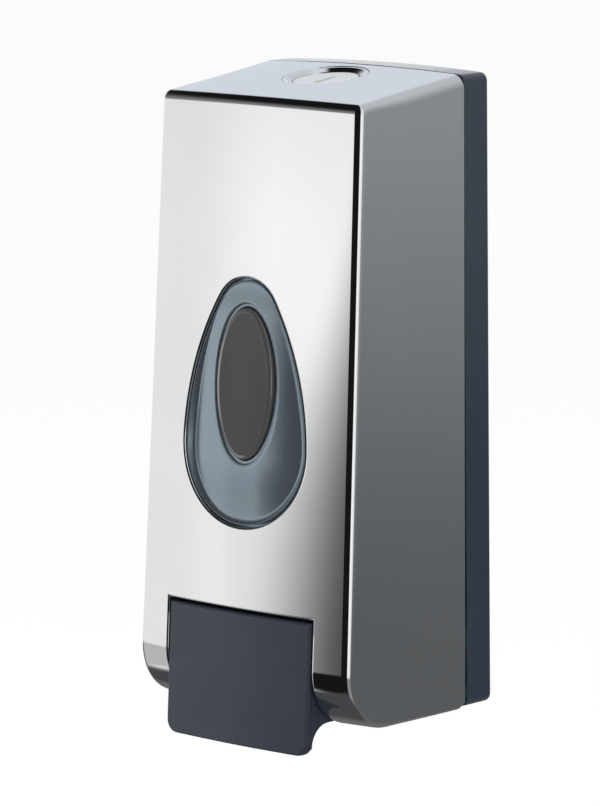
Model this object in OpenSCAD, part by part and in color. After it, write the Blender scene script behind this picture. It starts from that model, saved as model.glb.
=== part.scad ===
// Wall-mounted manual soap dispenser with a hinged chrome cover, a push lever, a tank and a piston pump.
// Millimetres, +Z up, wall face at Y = 0 with the wall on the +Y side, X = 0 in the middle.
// Depths called d are distances from the wall, so y = -d. Heights count from the underside of the cover.

/* [Wall base] */
// Height of the base and of the cover at the wall
base_h = 220; // [200:1:240]
// Width of the base at its top
base_w_top = 90.8; // [86:0.2:94]
// Width of the base at its bottom
base_w_bottom = 97; // [93:0.2:101]
// Depth of the base rim
base_d = 12.6; // [11:0.2:14]
// Thickness of the back plate
plate_t = 3; // [2.4:0.1:4]
// Thickness of the rim
rim_t = 2.5; // [2:0.1:3]
// Radius of the base corners
base_corner_r = 3; // [1.5:0.5:5]
// Rise of the arched top edge
top_arch = 1.1; // [0.5:0.1:2]

/* [Wall screws] */
// Spacing of the wall screws along X
screw_span_x = 58; // [50:1:62]
// Spacing of the wall screws along Z
screw_span_z = 140; // [136:1:146]
// Height of the middle of the screw pattern
screw_mid_z = 110; // [108:1:112]
// Diameter of the wall screw holes
screw_hole_d = 5; // [4:0.1:5.5]
// Diameter of the raised pads round the screw holes
screw_pad_d = 13; // [11:0.5:14]

/* [Cover] */
// Gap between the cover and the base
cover_gap = 0.4; // [0.3:0.05:0.6]
// Reach of the cover past each side of the base
cover_over = 0.25; // [0.1:0.05:0.5]
// Wall of the cover
cover_wall = 2.5; // [2:0.1:3]
// Depth of the front from the wall, in the middle at the bottom
front_d = 80.2; // [78:0.2:84]
// Lean of the front back toward the wall, in degrees
lean = 3; // [2:0.1:4]
// Radius of the crowned front
crown_r = 310; // [260:10:400]
// Fall of the top toward the front, in degrees
top_fall = 7.6; // [6:0.2:9]
// Draft of each side toward the front, in degrees
side_draft = 0.8; // [0.4:0.1:1.2]
// Radius of the curve under the front
curve_r = 20; // [16:1:24]
// Radius of the corner round the hinge axis
hinge_corner_r = 5.3; // [4.8:0.1:5.6]
// Radius of the upright front edges
side_edge_r = 3.2; // [2.8:0.1:4]
// Radius of the top front edge
top_edge_r = 3.6; // [3:0.1:5]
// Radius of the top side edges
shoulder_r = 4.6; // [3.5:0.1:6]
// Radius of the top rear edge
rear_edge_r = 3; // [2:0.1:4]

/* [Cover hinge] */
// Diameter of the hinge pins
hinge_pin_d = 4; // [3:0.2:5]
// Length of the hinge pins
hinge_pin_l = 8.6; // [7:0.2:9]
// Width of the base ears
ear_w = 5.6; // [4:0.2:6.5]
// Outer radius of the base ears
ear_r = 4.7; // [4:0.1:5]
// Gap from the cover's side wall to the ears
ear_gap = 1.2; // [0.8:0.1:2]

/* [Window] */
// Height of the drop-shaped window
window_h = 85; // [75:1:95]
// Height of the lowest point of the window along the front
window_v = 66.4; // [62:0.2:72]
// Radius of the window's wide end
window_bottom_r = 27.4; // [24:0.2:29]
// Radius of the window's narrow end
window_top_r = 14; // [10:0.5:17]
// Radius of the bowed window sides
window_side_r = 100; // [90:5:140]
// Depth of the dish in the trim
dish_depth = 3.2; // [2.4:0.1:4]
// Width of the sloped dish wall
dish_slope = 2.7; // [2:0.1:3.5]
// Rise of the bulged dish floor from its foot to its middle
floor_rise = 1.8; // [1.2:0.1:2.4]
// Thickness of the trim behind the dish
trim_floor_t = 3.8; // [3.4:0.1:5]
// Width of the trim's flange behind the cover
trim_flange = 2.5; // [1.5:0.1:3.5]
// Height of the oval lens
lens_h = 52.8; // [46:0.2:56]
// Width of the oval lens
lens_w = 25.8; // [20:0.2:28]
// Height of the lens middle along the front
lens_v = 115.4; // [113:0.2:118]
// Reach of the lens past the middle of the dish floor
lens_proud = 1.6; // [0.8:0.1:2]
// Thickness of the lens flange
lens_flange_t = 1.5; // [1:0.1:2]
// Width of the lens flange
lens_flange = 2; // [1.2:0.1:2.5]
// Thickness of the lens gasket
gasket_t = 0.8; // [0.5:0.1:1]

/* [Push lever] */
// Width of the push plate
lever_w = 64.2; // [58:0.2:68]
// Top edge of the push plate along the front
lever_top_v = 37; // [33:0.2:39]
// Bottom edge of the push plate along the front
lever_bottom_v = -8.8; // [-12:0.2:-6]
// Thickness of the push plate
lever_t = 3; // [2.5:0.1:3.5]
// Gap round the push plate
lever_gap = 0.7; // [0.5:0.1:1.2]
// Radius of the plate's lower corners
lever_corner_r = 4.5; // [2:0.5:8]
// Thickness of the lever's cheeks
cheek_t = 2.4; // [2:0.1:3]
// Lower edge of the cheeks
cheek_z = 1.5; // [0.5:0.1:3]
// Distance of the cheeks' rear edge behind the front
cheek_back = 22.2; // [18.2:0.5:24.2]
// Radius of the fillet between cheek and plate
cheek_fillet_r = 8; // [5:0.5:9]
// Diameter of the lever axle
axle_d = 4; // [3:0.2:5]
// Distance of the axle behind the front
axle_back = 12.2; // [11.7:0.1:13.2]
// Height of the axle
axle_z = 46; // [45.4:0.1:47]
// Radius of the lever hub
hub_r = 4.5; // [4:0.1:4.8]
// Width of the cover bosses that hold the axle
axle_boss_w = 5; // [4:0.5:6]
// Thickness of the axle clips
clip_t = 0.9; // [0.6:0.1:1.2]

/* [Lock] */
// Distance of the lock from the wall
lock_d = 32; // [31:0.5:34]
// Diameter of the lock bezel
bezel_d = 30; // [28:0.5:32]
// Diameter of the bezel's sleeve
sleeve_d = 26; // [25.4:0.2:27]
// Diameter of the lock barrel
barrel_d = 23; // [21:0.2:23.6]
// Depth of the barrel face below the top
barrel_sink = 2.2; // [1.5:0.1:3]
// Length of the sleeve below the top
sleeve_l = 12; // [11:0.5:13]
// Thickness of the top at the lock
lock_boss_t = 6; // [5:0.5:7]
// Width of the key slot
key_slot_w = 2.4; // [1.6:0.1:3]
// Reach of the cam from the lock axis
cam_reach = 22; // [20:0.5:23]
// Width of the cam
cam_w = 9; // [7:0.5:10]
// Thickness of the cam
cam_t = 3; // [2:0.1:3.5]
// Side of the square shank that drives the cam
shank_w = 7; // [6:0.2:8]

/* [Tank] */
// Gap between the tank and each side wall of the cover, at the top of the cover
tank_side_gap = 2.15; // [1.75:0.05:4]
// Rear of the tank, from the wall
tank_d0 = 8; // [7.6:0.1:9]
// Distance of the tank's front behind the front of the cover
tank_back = 20.2; // [19.2:0.1:22.2]
// Underside of the tank
tank_z0 = 58; // [57:0.5:60]
// Room from the top of the tank to the top of the base
tank_head = 44; // [43:0.5:50]
// Wall of the tank
tank_wall = 2; // [1.5:0.1:2.5]
// Radius of the tank's upright edges
tank_edge_r = 7; // [5:0.5:10]
// Width of the filler mouth
mouth_w = 19; // [16:0.5:20]
// Length of the filler mouth
mouth_l = 25; // [22:0.5:26]
// Height of the filler collar
collar_h = 4; // [3:0.5:5]
// Diameter of the flap pin
flap_pin_d = 2.4; // [2:0.1:2.6]
// Thickness of the filler flap
flap_t = 2; // [1.6:0.1:2.4]

/* [Pump] */
// Height of the pump axis
pump_z = 15; // [14.6:0.1:15.6]
// Distance of the pump body behind the front of the cover
pump_back = 26.2; // [25.2:0.5:27.2]
// Length of the pump body
pump_l = 24; // [23:0.5:25]
// Diameter of the pump bore
bore_d = 14; // [13:0.2:14.4]
// Outer diameter of the pump body
pump_od = 20; // [19:0.2:21]
// Distance of the inlet and outlet from the rear of the pump body
port_in = 6.6; // [6.4:0.1:7]
// Outer diameter of the inlet riser
riser_d = 13; // [12.4:0.1:13.2]
// Outer diameter of the tank neck
neck_d = 18; // [17:0.2:19]
// Outer diameter of the union nut
union_d = 26; // [24:0.5:28]
// Diameter of the plunger rod
rod_d = 8; // [7:0.2:8.6]
// Diameter of the plunger head
head_d = 17; // [15:0.5:18]
// Thickness of the pump gland
gland_t = 3; // [2.5:0.1:3.5]
// Wire of the return spring
spring_wire = 0.9; // [0.8:0.1:1]
// Mean diameter of the return spring
spring_d = 11.6; // [11:0.2:12.4]
// Turns of the return spring
spring_turns = 4; // [3:0.5:4.5]
// Tip of the nozzle
nozzle_z = -5; // [-6:0.5:-4]
// Outer diameter of the nozzle tube
nozzle_d = 9.2; // [8.6:0.2:10]
// Diameter of the pump screws
pump_screw_d = 3; // [2.5:0.1:3.5]
// Distance of the pump screws from the middle
pump_screw_x = 18; // [17:0.5:20]

/* [Fits] */
// Radial clearance of pins and pistons that turn or slide
run_fit = 0.06; // [0.03:0.01:0.09]
// Gap between pieces that are set into each other
seat_gap = 0.1; // [0.05:0.01:0.15]
// Gap between pieces that pass each other
free_gap = 0.3; // [0.3:0.05:0.5]

/* [Hidden] */
$fn = 64;
eps = 0.01;
big = 400;
// Rear of the cover and axis of the cover hinge
cover_d0 = base_d + cover_gap;
cover_w_top = base_w_top + 2 * cover_over;
cover_w_bottom = base_w_bottom + 2 * cover_over;
hinge_d = cover_d0 + hinge_corner_r;
hinge_z = hinge_corner_r;
// Side walls of the cover
side_taper = atan((cover_w_bottom - cover_w_top) / 2 / base_h);
// Angle by which one face of the cover runs past the round edge of the next one
overrun = 9;
// Height of the top of the cover over a depth d, in the middle
function top_z(d) = base_h - (d - cover_d0) * tan(top_fall);
// Depth of the front at a height z, in the middle
function face_d(z) = front_d - z * tan(lean);
// Fall of the crowned front at a distance x from the middle
function crown_fall(x) = crown_r - sqrt(crown_r * crown_r - x * x);
// Half the outer width of the cover at the wall side, at a height z
function cover_half(z) = cover_w_bottom / 2 - z * tan(side_taper);
// Points of an arc round c from angle a0 to angle a1
function arc(c, r, a0, a1, n = 8) =
    [for (i = [0 : n]) let (a = a0 + (a1 - a0) * i / n) [c[0] + r * cos(a), c[1] + r * sin(a)]];
// Where two lines meet that are given by the angles of their normals and their distances from zero
function meet(a, p, b, q) =
    [(p * sin(b) - q * sin(a)) / sin(b - a), (q * cos(a) - p * cos(b)) / sin(b - a)];
// Rectangle with round corners, as points
function round_box(x0, x1, y0, y1, r) = concat(
    arc([x1 - r, y1 - r], r, 0, 90, 6),
    arc([x0 + r, y1 - r], r, 90, 180, 6),
    arc([x0 + r, y0 + r], r, 180, 270, 6),
    arc([x1 - r, y0 + r], r, 270, 360, 6));
// Mirrors points about the upright axis
function flip(points) = [for (p = points) [-p[0], p[1]]];

// Puts the middle of the wall screw pattern at the origin
module framed() {
    translate([0, 0, -screw_mid_z]) children();
}

// Extrudes a profile of depth and height along X, centred on x
module profile_x(w, x = 0) {
    translate([x, 0, 0]) rotate([90, 0, -90]) linear_extrude(w, center = true) children();
}

// Round bar along X, centred on x
module bar_x(r, w, x, d, z) {
    translate([x, -d, z]) rotate([0, 90, 0]) cylinder(r = r, h = w, center = true);
}

// Round bar along Y from depth d0 to depth d1
module bar_y(r, d0, d1, x, z) {
    translate([x, -d0, z]) rotate([90, 0, 0]) cylinder(r = r, h = d1 - d0);
}

// Upright round bar from height z0 to height z1
module bar_z(r, z0, z1, x, d) {
    translate([x, -d, z0]) cylinder(r = r, h = z1 - z0);
}

// Box between two widths, two depths and two heights
module block(x0, x1, d0, d1, z0, z1) {
    translate([x0, -d1, z0]) cube([x1 - x0, d1 - d0, z1 - z0]);
}

// Frame on the front: X across, Y up the leaning face, Z out of the face
module on_front() {
    translate([0, -front_d, 0]) rotate([90 - lean, 0, 0]) children();
}

// Frame on the top at the lock: Z out of the top
module on_top() {
    translate([0, -lock_d, top_z(lock_d)]) rotate([top_fall, 0, 0]) children();
}

// Both sides of the middle plane
module both_sides() {
    children();
    mirror([1, 0, 0]) children();
}

// Everything behind the crowned front, sunk by a depth, in the frame of the front
module crown(sink) {
    translate([0, -big / 2, -crown_r]) rotate([-90, 0, 0])
        cylinder(r = crown_r - sink, h = big, $fn = 200);
}

// Layer of the crowned front between two depths, in the frame of the front
module crown_layer(sink, back) {
    difference() {
        crown(sink);
        crown(back);
    }
}

// Cover body with the crowned front, the curve under it and the round top front edge
module cover_crowned(inset) {
    front = front_d * cos(lean);
    top = cover_d0 * sin(top_fall) + base_h * cos(top_fall);
    curve_c = meet(lean, front - curve_r, -90, -curve_r);
    edge_c = meet(lean, front - top_edge_r, 90 - top_fall, top - top_edge_r);
    lower = arc(curve_c, curve_r - inset, -90 + overrun, lean);
    upper = arc(edge_c, max(top_edge_r - inset, 0.4), lean, 90 - top_fall, 5);
    first = lower[0];
    last = upper[len(upper) - 1];
    rear = [[0, last[1] + last[0] * tan(top_fall + overrun)], [0, first[1] - first[0] * tan(overrun)]];
    sweep = 24;
    translate([0, -front_d, 0]) rotate([-lean, 0, 0]) translate([0, crown_r, 0]) rotate([0, 0, -90 - sweep / 2])
        rotate_extrude(angle = sweep, $fn = 200)
            translate([crown_r, 0]) rotate(-lean) translate([-front_d, 0])
                polygon(concat(lower, upper, rear));
}

// Straight body with the rear plane, the underside and the two rear edges; its rear is open when inset
module cover_straight(inset) {
    edge_c = [cover_d0 + rear_edge_r, top_z(cover_d0 + rear_edge_r) - rear_edge_r];
    edge = arc(edge_c, rear_edge_r, 90 + overrun, 180, 4);
    far_z = edge[0][1] + (big / 2 - edge[0][0]) * tan(overrun);
    profile_x(big)
        if (inset > 0)
            polygon([[-1, inset], [big / 2, inset], [big / 2, big], [-1, big]]);
        else
            polygon(concat(arc([hinge_d, hinge_z], hinge_corner_r, 180, 270, 6),
                [[big / 2, 0], [big / 2, far_z]], edge));
}

// Body bounded by the right side and the right front edge
module cover_sided(inset) {
    half = cover_w_bottom / 2;
    side = half * cos(side_draft) + cover_d0 * sin(side_draft);
    front_x = half - (front_d - cover_d0) * tan(side_draft);
    turn = asin(front_x / crown_r);
    front = front_x * sin(turn) + (front_d - crown_fall(front_x)) * cos(turn);
    edge_c = meet(side_draft, side - side_edge_r, 90 - turn, front - side_edge_r);
    end_a = 90 - turn - overrun;
    edge = arc(edge_c, max(side_edge_r - inset, 0.4), side_draft, end_a, 5);
    last = edge[len(edge) - 1];
    behind = 20;
    rear = [edge[0][0] + (edge[0][1] + behind) * tan(side_draft), -behind];
    far = last + big / 2 * [-sin(end_a), cos(end_a)];
    outline = concat([rear], edge, [far, [-big / 2, far[1]], [-big / 2, -behind]]);
    rotate([-lean, -side_taper, 0]) translate([0, 0, -base_h / 4]) linear_extrude(base_h * 1.5)
        polygon([for (p = outline) [p[0], -p[1]]]);
}

// Body under the arched top with its two shoulders
module cover_topped(inset) {
    half = cover_w_top / 2;
    shoulder_x = half - shoulder_r;
    function arch(x) = -top_arch * pow(x / half, 2);
    right = arc([shoulder_x, arch(shoulder_x) - shoulder_r], max(shoulder_r - inset, 0.4), overrun, 87, 5);
    skirt = shoulder_r * 12;
    wide = right[0][0] + skirt * tan(overrun);
    low = [[wide, -base_h * 1.5], [wide, right[0][1] - skirt]];
    steps = 4;
    middle = [for (i = [steps - 1 : -1 : 1 - steps]) let (x = shoulder_x * i / steps) [x, arch(x) - inset]];
    half_line = concat(low, right);
    count = len(half_line);
    mirrored = flip([for (i = [count - 1 : -1 : 0]) half_line[i]]);
    translate([0, -cover_d0, base_h]) rotate([top_fall + 90, 0, 0]) linear_extrude(big, center = true)
        polygon(concat(half_line, middle, mirrored));
}

// Outer form of the cover, or its inner form when inset by the wall
module cover_form(inset) {
    intersection() {
        cover_crowned(inset);
        cover_straight(inset);
        cover_sided(inset);
        mirror([1, 0, 0]) cover_sided(inset);
        cover_topped(inset);
    }
}

// Window outline, grown by an amount, in the frame of the front
function drop(grow) = let (
    top_c = [0, window_v + window_h - window_top_r],
    bottom_c = [0, window_v + window_bottom_r],
    to_top = window_side_r - window_top_r,
    to_bottom = window_side_r - window_bottom_r,
    apart = top_c[1] - bottom_c[1],
    along = (to_top * to_top - to_bottom * to_bottom + apart * apart) / (2 * apart),
    aside = sqrt(to_top * to_top - along * along),
    side_c = [-aside, top_c[1] - along],
    top_a = atan2(along, aside),
    bottom_a = atan2(along - apart, aside),
    right = concat(
        arc(bottom_c, window_bottom_r + grow, -90, bottom_a, 9),
        arc(side_c, window_side_r + grow, bottom_a, top_a, 5),
        arc(top_c, window_top_r + grow, top_a, 90, 6)),
    count = len(right))
    concat(right, flip([for (i = [count - 2 : -1 : 1]) right[i]]));

// Lens outline, grown by an amount, in the frame of the front
function oval(grow) = [for (a = [0 : 7.5 : 359])
    [(lens_w / 2 + grow) * cos(a), lens_v + (lens_h / 2 + grow) * sin(a)]];

// Extrudes an outline between two levels of the frame of the front
module slab(z0, z1) {
    translate([0, 0, z0]) linear_extrude(z1 - z0) children();
}

// Places that follow the front and the sides of the cover
axle_y = front_d - axle_back;
cheek_d = front_d - cheek_back;
tank_w = cover_w_top - 2 * (cover_wall + tank_side_gap);
tank_d1 = front_d - tank_back;
tank_z1 = base_h - tank_head;
pump_d1 = front_d - pump_back;
pump_d0 = pump_d1 - pump_l;
port_d = pump_d0 + port_in;
outlet_r = pump_od / 2 - 2.5;

// Sizes that several pieces share
notch_half = lever_w / 2 + lever_gap;
notch_top_z = (lever_top_v + 1.5 * lever_gap) * cos(lean);
notch_d0 = min(pump_d0, port_d - outlet_r) - 2 * free_gap;
axle_boss_r = hub_r + 1;
axle_boss_x = notch_half + axle_boss_w / 2;
ear_x1 = cover_half(hinge_z) - cover_wall - ear_gap;
ear_x0 = ear_x1 - ear_w;
hinge_pin_x = ear_x0 - 0.6 + hinge_pin_l / 2;
bezel_flange_t = barrel_sink + 0.4;
nut_r = sleeve_d / 2 + 5;
nut_t = 4;
barrel_l = sleeve_l + clip_t + 1.2;
cam_z1 = -barrel_l - seat_gap;
cam_z0 = cam_z1 - cam_t;

// Sizes of the keeper that the cam turns behind: a foot on the back plate, a strap and a tab
strike_t = 2.4;
strike_x0 = -cam_reach - 2;
strike_w = cam_reach + 2 - sleeve_d / 2 - 1.5;
strap_z = cam_z0 - 4 * free_gap - strike_t;
foot_z = top_z(plate_t) + (strap_z + strike_t) / cos(top_fall);
foot_h = 14;
stake_r = 1.4;
stake_head = 1.2;

module front_cover() {
    color("gainsboro") framed() difference() {
        union() {
            difference() {
                cover_form(0);
                cover_form(cover_wall);
            }
            intersection() {
                cover_form(cover_wall / 2);
                union() {
                    on_top() translate([0, 0, -lock_boss_t])
                        cylinder(r = bezel_d / 2 + cover_wall, h = lock_boss_t * 2);
                    both_sides() {
                        bar_x(axle_boss_r, axle_boss_w, axle_boss_x, axle_y, axle_z);
                        block(notch_half, notch_half + axle_boss_w, axle_y, front_d,
                            axle_z - axle_boss_r, axle_z + axle_boss_r);
                        bar_x(ear_r, big, ear_x1 + free_gap + big / 2, hinge_d, hinge_z);
                    }
                }
            }
        }
        on_front() slab(-cover_wall * 4, cover_wall * 4) polygon(drop(seat_gap));
        block(-notch_half, notch_half, notch_d0, front_d + 1, -1, notch_top_z);
        bar_x(axle_d / 2 + run_fit, 2 * (notch_half + axle_boss_w) + 1, 0, axle_y, axle_z);
        both_sides() {
            bar_x(hinge_pin_d / 2 + run_fit, hinge_pin_l + 2 * seat_gap, hinge_pin_x, hinge_d, hinge_z);
            block(ear_x0 - 2 * free_gap, ear_x1 + free_gap, cover_d0 - 1, hinge_d + ear_r + 2,
                -1, cover_wall + eps);
        }
        on_top() translate([0, 0, -bezel_flange_t]) cylinder(r = bezel_d / 2 + seat_gap, h = lock_boss_t * 2);
        on_top() translate([0, 0, -lock_boss_t * 2]) cylinder(r = sleeve_d / 2 + seat_gap, h = lock_boss_t * 3);
    }
}

// Outline of the base, in width and height
function base_outline(inset) = let (
    r = max(base_corner_r - inset, 0.4),
    slope = atan((base_w_bottom - base_w_top) / 2 / base_h),
    side = base_w_bottom / 2 * cos(slope) - base_corner_r,
    low = meet(slope, side, -90, -base_corner_r),
    high = meet(slope, side, 90, base_h - top_arch - base_corner_r),
    steps = 5,
    middle = [for (i = [steps - 1 : -1 : 1 - steps]) let (t = i / steps)
        [high[0] * t, base_h - inset - top_arch * t * t]],
    right = concat(arc(low, r, -90, slope, 5), arc(high, r, slope, 88, 5)),
    count = len(right))
    concat(right, middle, flip([for (i = [count - 1 : -1 : 0]) right[i]]));

// Extrudes an outline of width and height from depth d0 to depth d1
module sheet(d0, d1) {
    translate([0, -d0, 0]) rotate([90, 0, 0]) linear_extrude(d1 - d0) children();
}

// Places of the wall screws
module at_wall_screws() {
    for (x = [-1, 1], z = [-1, 1])
        translate([x * screw_span_x / 2, 0, screw_mid_z + z * screw_span_z / 2]) children();
}

// Places of the stakes that hold the keeper
module at_stakes() {
    for (h = [0.55, 0.82])
        translate([strike_x0 + strike_w / 2, 0, foot_z - foot_h * h]) children();
}

// Sizes of the supports on the base
shelf_x0 = union_d / 2 + 6.5;
shelf_x1 = tank_w / 2 - 3;
shelf_d = port_d - 4;
shelf_t = 3;
gusset_t = 2.4;
gusset_h = 14;
post_r = 4.4;
screw_bite = 9;
hook_x0 = 7;
hook_x1 = 13;
hook_lip = 1.8;
rib_h = 2.4;
rib_d0 = tank_d0 + 2.8;
rib_d1 = rib_d0 + 2.2;

module wall_base() {
    color("slategray") framed() difference() {
        union() {
            difference() {
                sheet(0, base_d) polygon(base_outline(0));
                sheet(plate_t, base_d + 1) polygon(base_outline(rim_t));
            }
            at_wall_screws() bar_y(screw_pad_d / 2, plate_t / 2, plate_t + 1, 0, 0);
            both_sides() {
                bar_x(ear_r, ear_w, (ear_x0 + ear_x1) / 2, hinge_d, hinge_z);
                block(ear_x0, ear_x1, plate_t / 2, hinge_d, hinge_z - ear_r, hinge_z + ear_r);
                block(shelf_x0, shelf_x1, plate_t / 2, shelf_d, tank_z0 - shelf_t, tank_z0);
                for (x = [shelf_x0 + gusset_t / 2, shelf_x1 - gusset_t / 2])
                    profile_x(gusset_t, x) polygon([[plate_t / 2, tank_z0 - shelf_t - gusset_h],
                        [shelf_d, tank_z0 - shelf_t - 1], [shelf_d, tank_z0 - shelf_t / 2],
                        [plate_t / 2, tank_z0 - shelf_t / 2]]);
                bar_y(post_r, plate_t / 2, pump_d0, pump_screw_x, pump_z);
                block(hook_x0, hook_x1, plate_t / 2, rib_d1 + free_gap + hook_lip,
                    tank_z1 + rib_h + free_gap, tank_z1 + rib_h + free_gap + 2);
                block(hook_x0, hook_x1, rib_d1 + free_gap, rib_d1 + free_gap + hook_lip,
                    tank_z1 + free_gap, tank_z1 + rib_h + 1);
            }
            at_stakes() {
                bar_y(stake_r, plate_t / 2, plate_t + strike_t + stake_head / 2, 0, 0);
                bar_y(stake_r + stake_head, plate_t + strike_t, plate_t + strike_t + stake_head, 0, 0);
            }
        }
        at_wall_screws() bar_y(screw_hole_d / 2, -1, plate_t + 2, 0, 0);
        both_sides() {
            bar_x(hinge_pin_d / 2 + run_fit, ear_w + 1, (ear_x0 + ear_x1) / 2, hinge_d, hinge_z);
            bar_y(pump_screw_d / 2 - 0.2, pump_d0 - screw_bite - 1, pump_d0 + 1, pump_screw_x, pump_z);
        }
    }
}

// Sizes of the window pieces, as levels of the frame of the front
trim_back = dish_depth + trim_floor_t;
ledge = dish_depth + 2.2;
trim_sink = 0.4;
trim_rim = 0.5;
floor_half = window_bottom_r - trim_rim - dish_slope;
floor_r = (floor_half * floor_half + floor_rise * floor_rise) / (2 * floor_rise);
floor_mid = -dish_depth + floor_rise;

// Hollow of the dish: sloped walls down to a bulged floor
module dish() {
    rim_z = 1;
    low_z = -dish_depth - 1;
    low_in = trim_rim + dish_slope * (rim_z - low_z) / (rim_z + dish_depth);
    difference() {
        hull() {
            slab(rim_z, rim_z + eps) polygon(drop(-trim_rim));
            slab(low_z, low_z + eps) polygon(drop(-low_in));
        }
        translate([0, -big / 2, floor_mid - floor_r]) rotate([-90, 0, 0])
            cylinder(r = floor_r, h = big, $fn = 200);
    }
}

module window_trim() {
    color("dimgray") framed() on_front() difference() {
        union() {
            intersection() {
                crown_layer(trim_sink, trim_back);
                slab(-trim_back * 2, trim_back) polygon(drop(0));
            }
            intersection() {
                crown_layer(cover_wall + seat_gap, cover_wall + seat_gap + 1.5);
                slab(-trim_back * 2, trim_back) polygon(drop(trim_flange));
            }
        }
        dish();
        slab(-trim_back * 2, 1) polygon(oval(0));
        slab(-trim_back * 2, -ledge) polygon(oval(lens_flange + seat_gap));
    }
}

module window_lens() {
    color("black", 0.6) framed() on_front() {
        slab(-ledge - gasket_t - eps, floor_mid + lens_proud) polygon(oval(-seat_gap));
        slab(-ledge - gasket_t - lens_flange_t, -ledge - gasket_t) polygon(oval(lens_flange));
    }
}

module lens_gasket() {
    color("black") framed() on_front() difference() {
        slab(-ledge - gasket_t, -ledge) polygon(oval(lens_flange));
        slab(-ledge - gasket_t - 1, -ledge + 1) polygon(oval(seat_gap));
    }
}

module lock_bezel() {
    bore = barrel_d / 2 + run_fit;
    color("silver") framed() on_top() rotate_extrude()
        polygon([[bore, -sleeve_l], [sleeve_d / 2, -sleeve_l], [sleeve_d / 2, -bezel_flange_t],
            [bezel_d / 2, -bezel_flange_t], [bezel_d / 2, -2 * seat_gap],
            [bezel_d / 2 - 1, -2 * seat_gap], [bore, -barrel_sink + seat_gap]]);
}

module lock_nut() {
    color("silver") framed() on_top() translate([0, 0, -lock_boss_t - nut_t]) difference() {
        cylinder(r = nut_r, h = nut_t, $fn = 6);
        translate([0, 0, -1]) cylinder(r = sleeve_d / 2 + seat_gap, h = nut_t + 2);
    }
}

module lock_barrel() {
    groove_r = barrel_d / 2 - 1;
    groove_z = -sleeve_l - 0.2;
    slot_l = barrel_d / 2;
    color("lightgray") framed() on_top() difference() {
        union() {
            translate([0, 0, -barrel_l]) cylinder(r = barrel_d / 2, h = barrel_l - barrel_sink);
            translate([-shank_w / 2, -shank_w / 2, cam_z0 + seat_gap])
                cube([shank_w, shank_w, cam_t + 2 * seat_gap]);
        }
        rotate_extrude() translate([groove_r, groove_z - clip_t - seat_gap]) square([3, clip_t + seat_gap]);
        translate([-key_slot_w / 2, -slot_l / 2, -barrel_sink - 3]) cube([key_slot_w, slot_l, 4]);
        translate([0, 0, cam_z0]) cylinder(r = pump_screw_d / 2 + run_fit, h = 8);
    }
}

module lock_clip() {
    z = -sleeve_l - 0.2 - clip_t - seat_gap / 2;
    color("dimgray") framed() on_top() translate([0, 0, z]) difference() {
        cylinder(r = sleeve_d / 2 - 0.3, h = clip_t);
        translate([0, 0, -1]) cylinder(r = barrel_d / 2 - 1 + seat_gap, h = clip_t + 2);
        translate([-barrel_d / 4, 0, -1]) cube([barrel_d / 2, barrel_d, clip_t + 2]);
    }
}

module lock_cam() {
    square_w = shank_w + 2 * seat_gap;
    color("silver") framed() on_top() translate([0, 0, cam_z0]) difference() {
        union() {
            cylinder(r = shank_w * 0.9, h = cam_t);
            translate([-cam_w / 2, 0, 0]) cube([cam_w, cam_reach - cam_w / 2, cam_t]);
            translate([0, cam_reach - cam_w / 2, 0]) cylinder(r = cam_w / 2, h = cam_t);
        }
        translate([-square_w / 2, -square_w / 2, -1]) cube([square_w, square_w, cam_t + 2]);
    }
}

module cam_screw() {
    head_t = 2.2;
    color("silver") framed() on_top() {
        translate([0, 0, cam_z0 - head_t]) cylinder(r = shank_w * 0.8, h = head_t);
        translate([0, 0, cam_z0 - eps]) cylinder(r = pump_screw_d / 2, h = 7);
    }
}

module lock_strike() {
    tab_y = -cam_w / 2 - 2 * free_gap - strike_t;
    foot_y = (lock_d - plate_t - strike_t / 2 + strap_z * sin(top_fall)) / cos(top_fall);
    color("silver") framed() difference() {
        union() {
            on_top() translate([strike_x0, tab_y, strap_z]) {
                cube([strike_w, foot_y - tab_y, strike_t]);
                cube([strike_w, strike_t, cam_z1 - strap_z]);
            }
            block(strike_x0, strike_x0 + strike_w, plate_t, plate_t + strike_t, foot_z - foot_h, foot_z);
        }
        at_stakes() bar_y(stake_r + seat_gap, plate_t - 1, plate_t + strike_t + 1, 0, 0);
    }
}

module hinge_pins() {
    color("silver") framed() both_sides() bar_x(hinge_pin_d / 2, hinge_pin_l, hinge_pin_x, hinge_d, hinge_z);
}

// Pad of the lever that meets the plunger
pad_d = front_d - 8.2;
pad_half_w = 7;
pad_half_h = 8;

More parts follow.
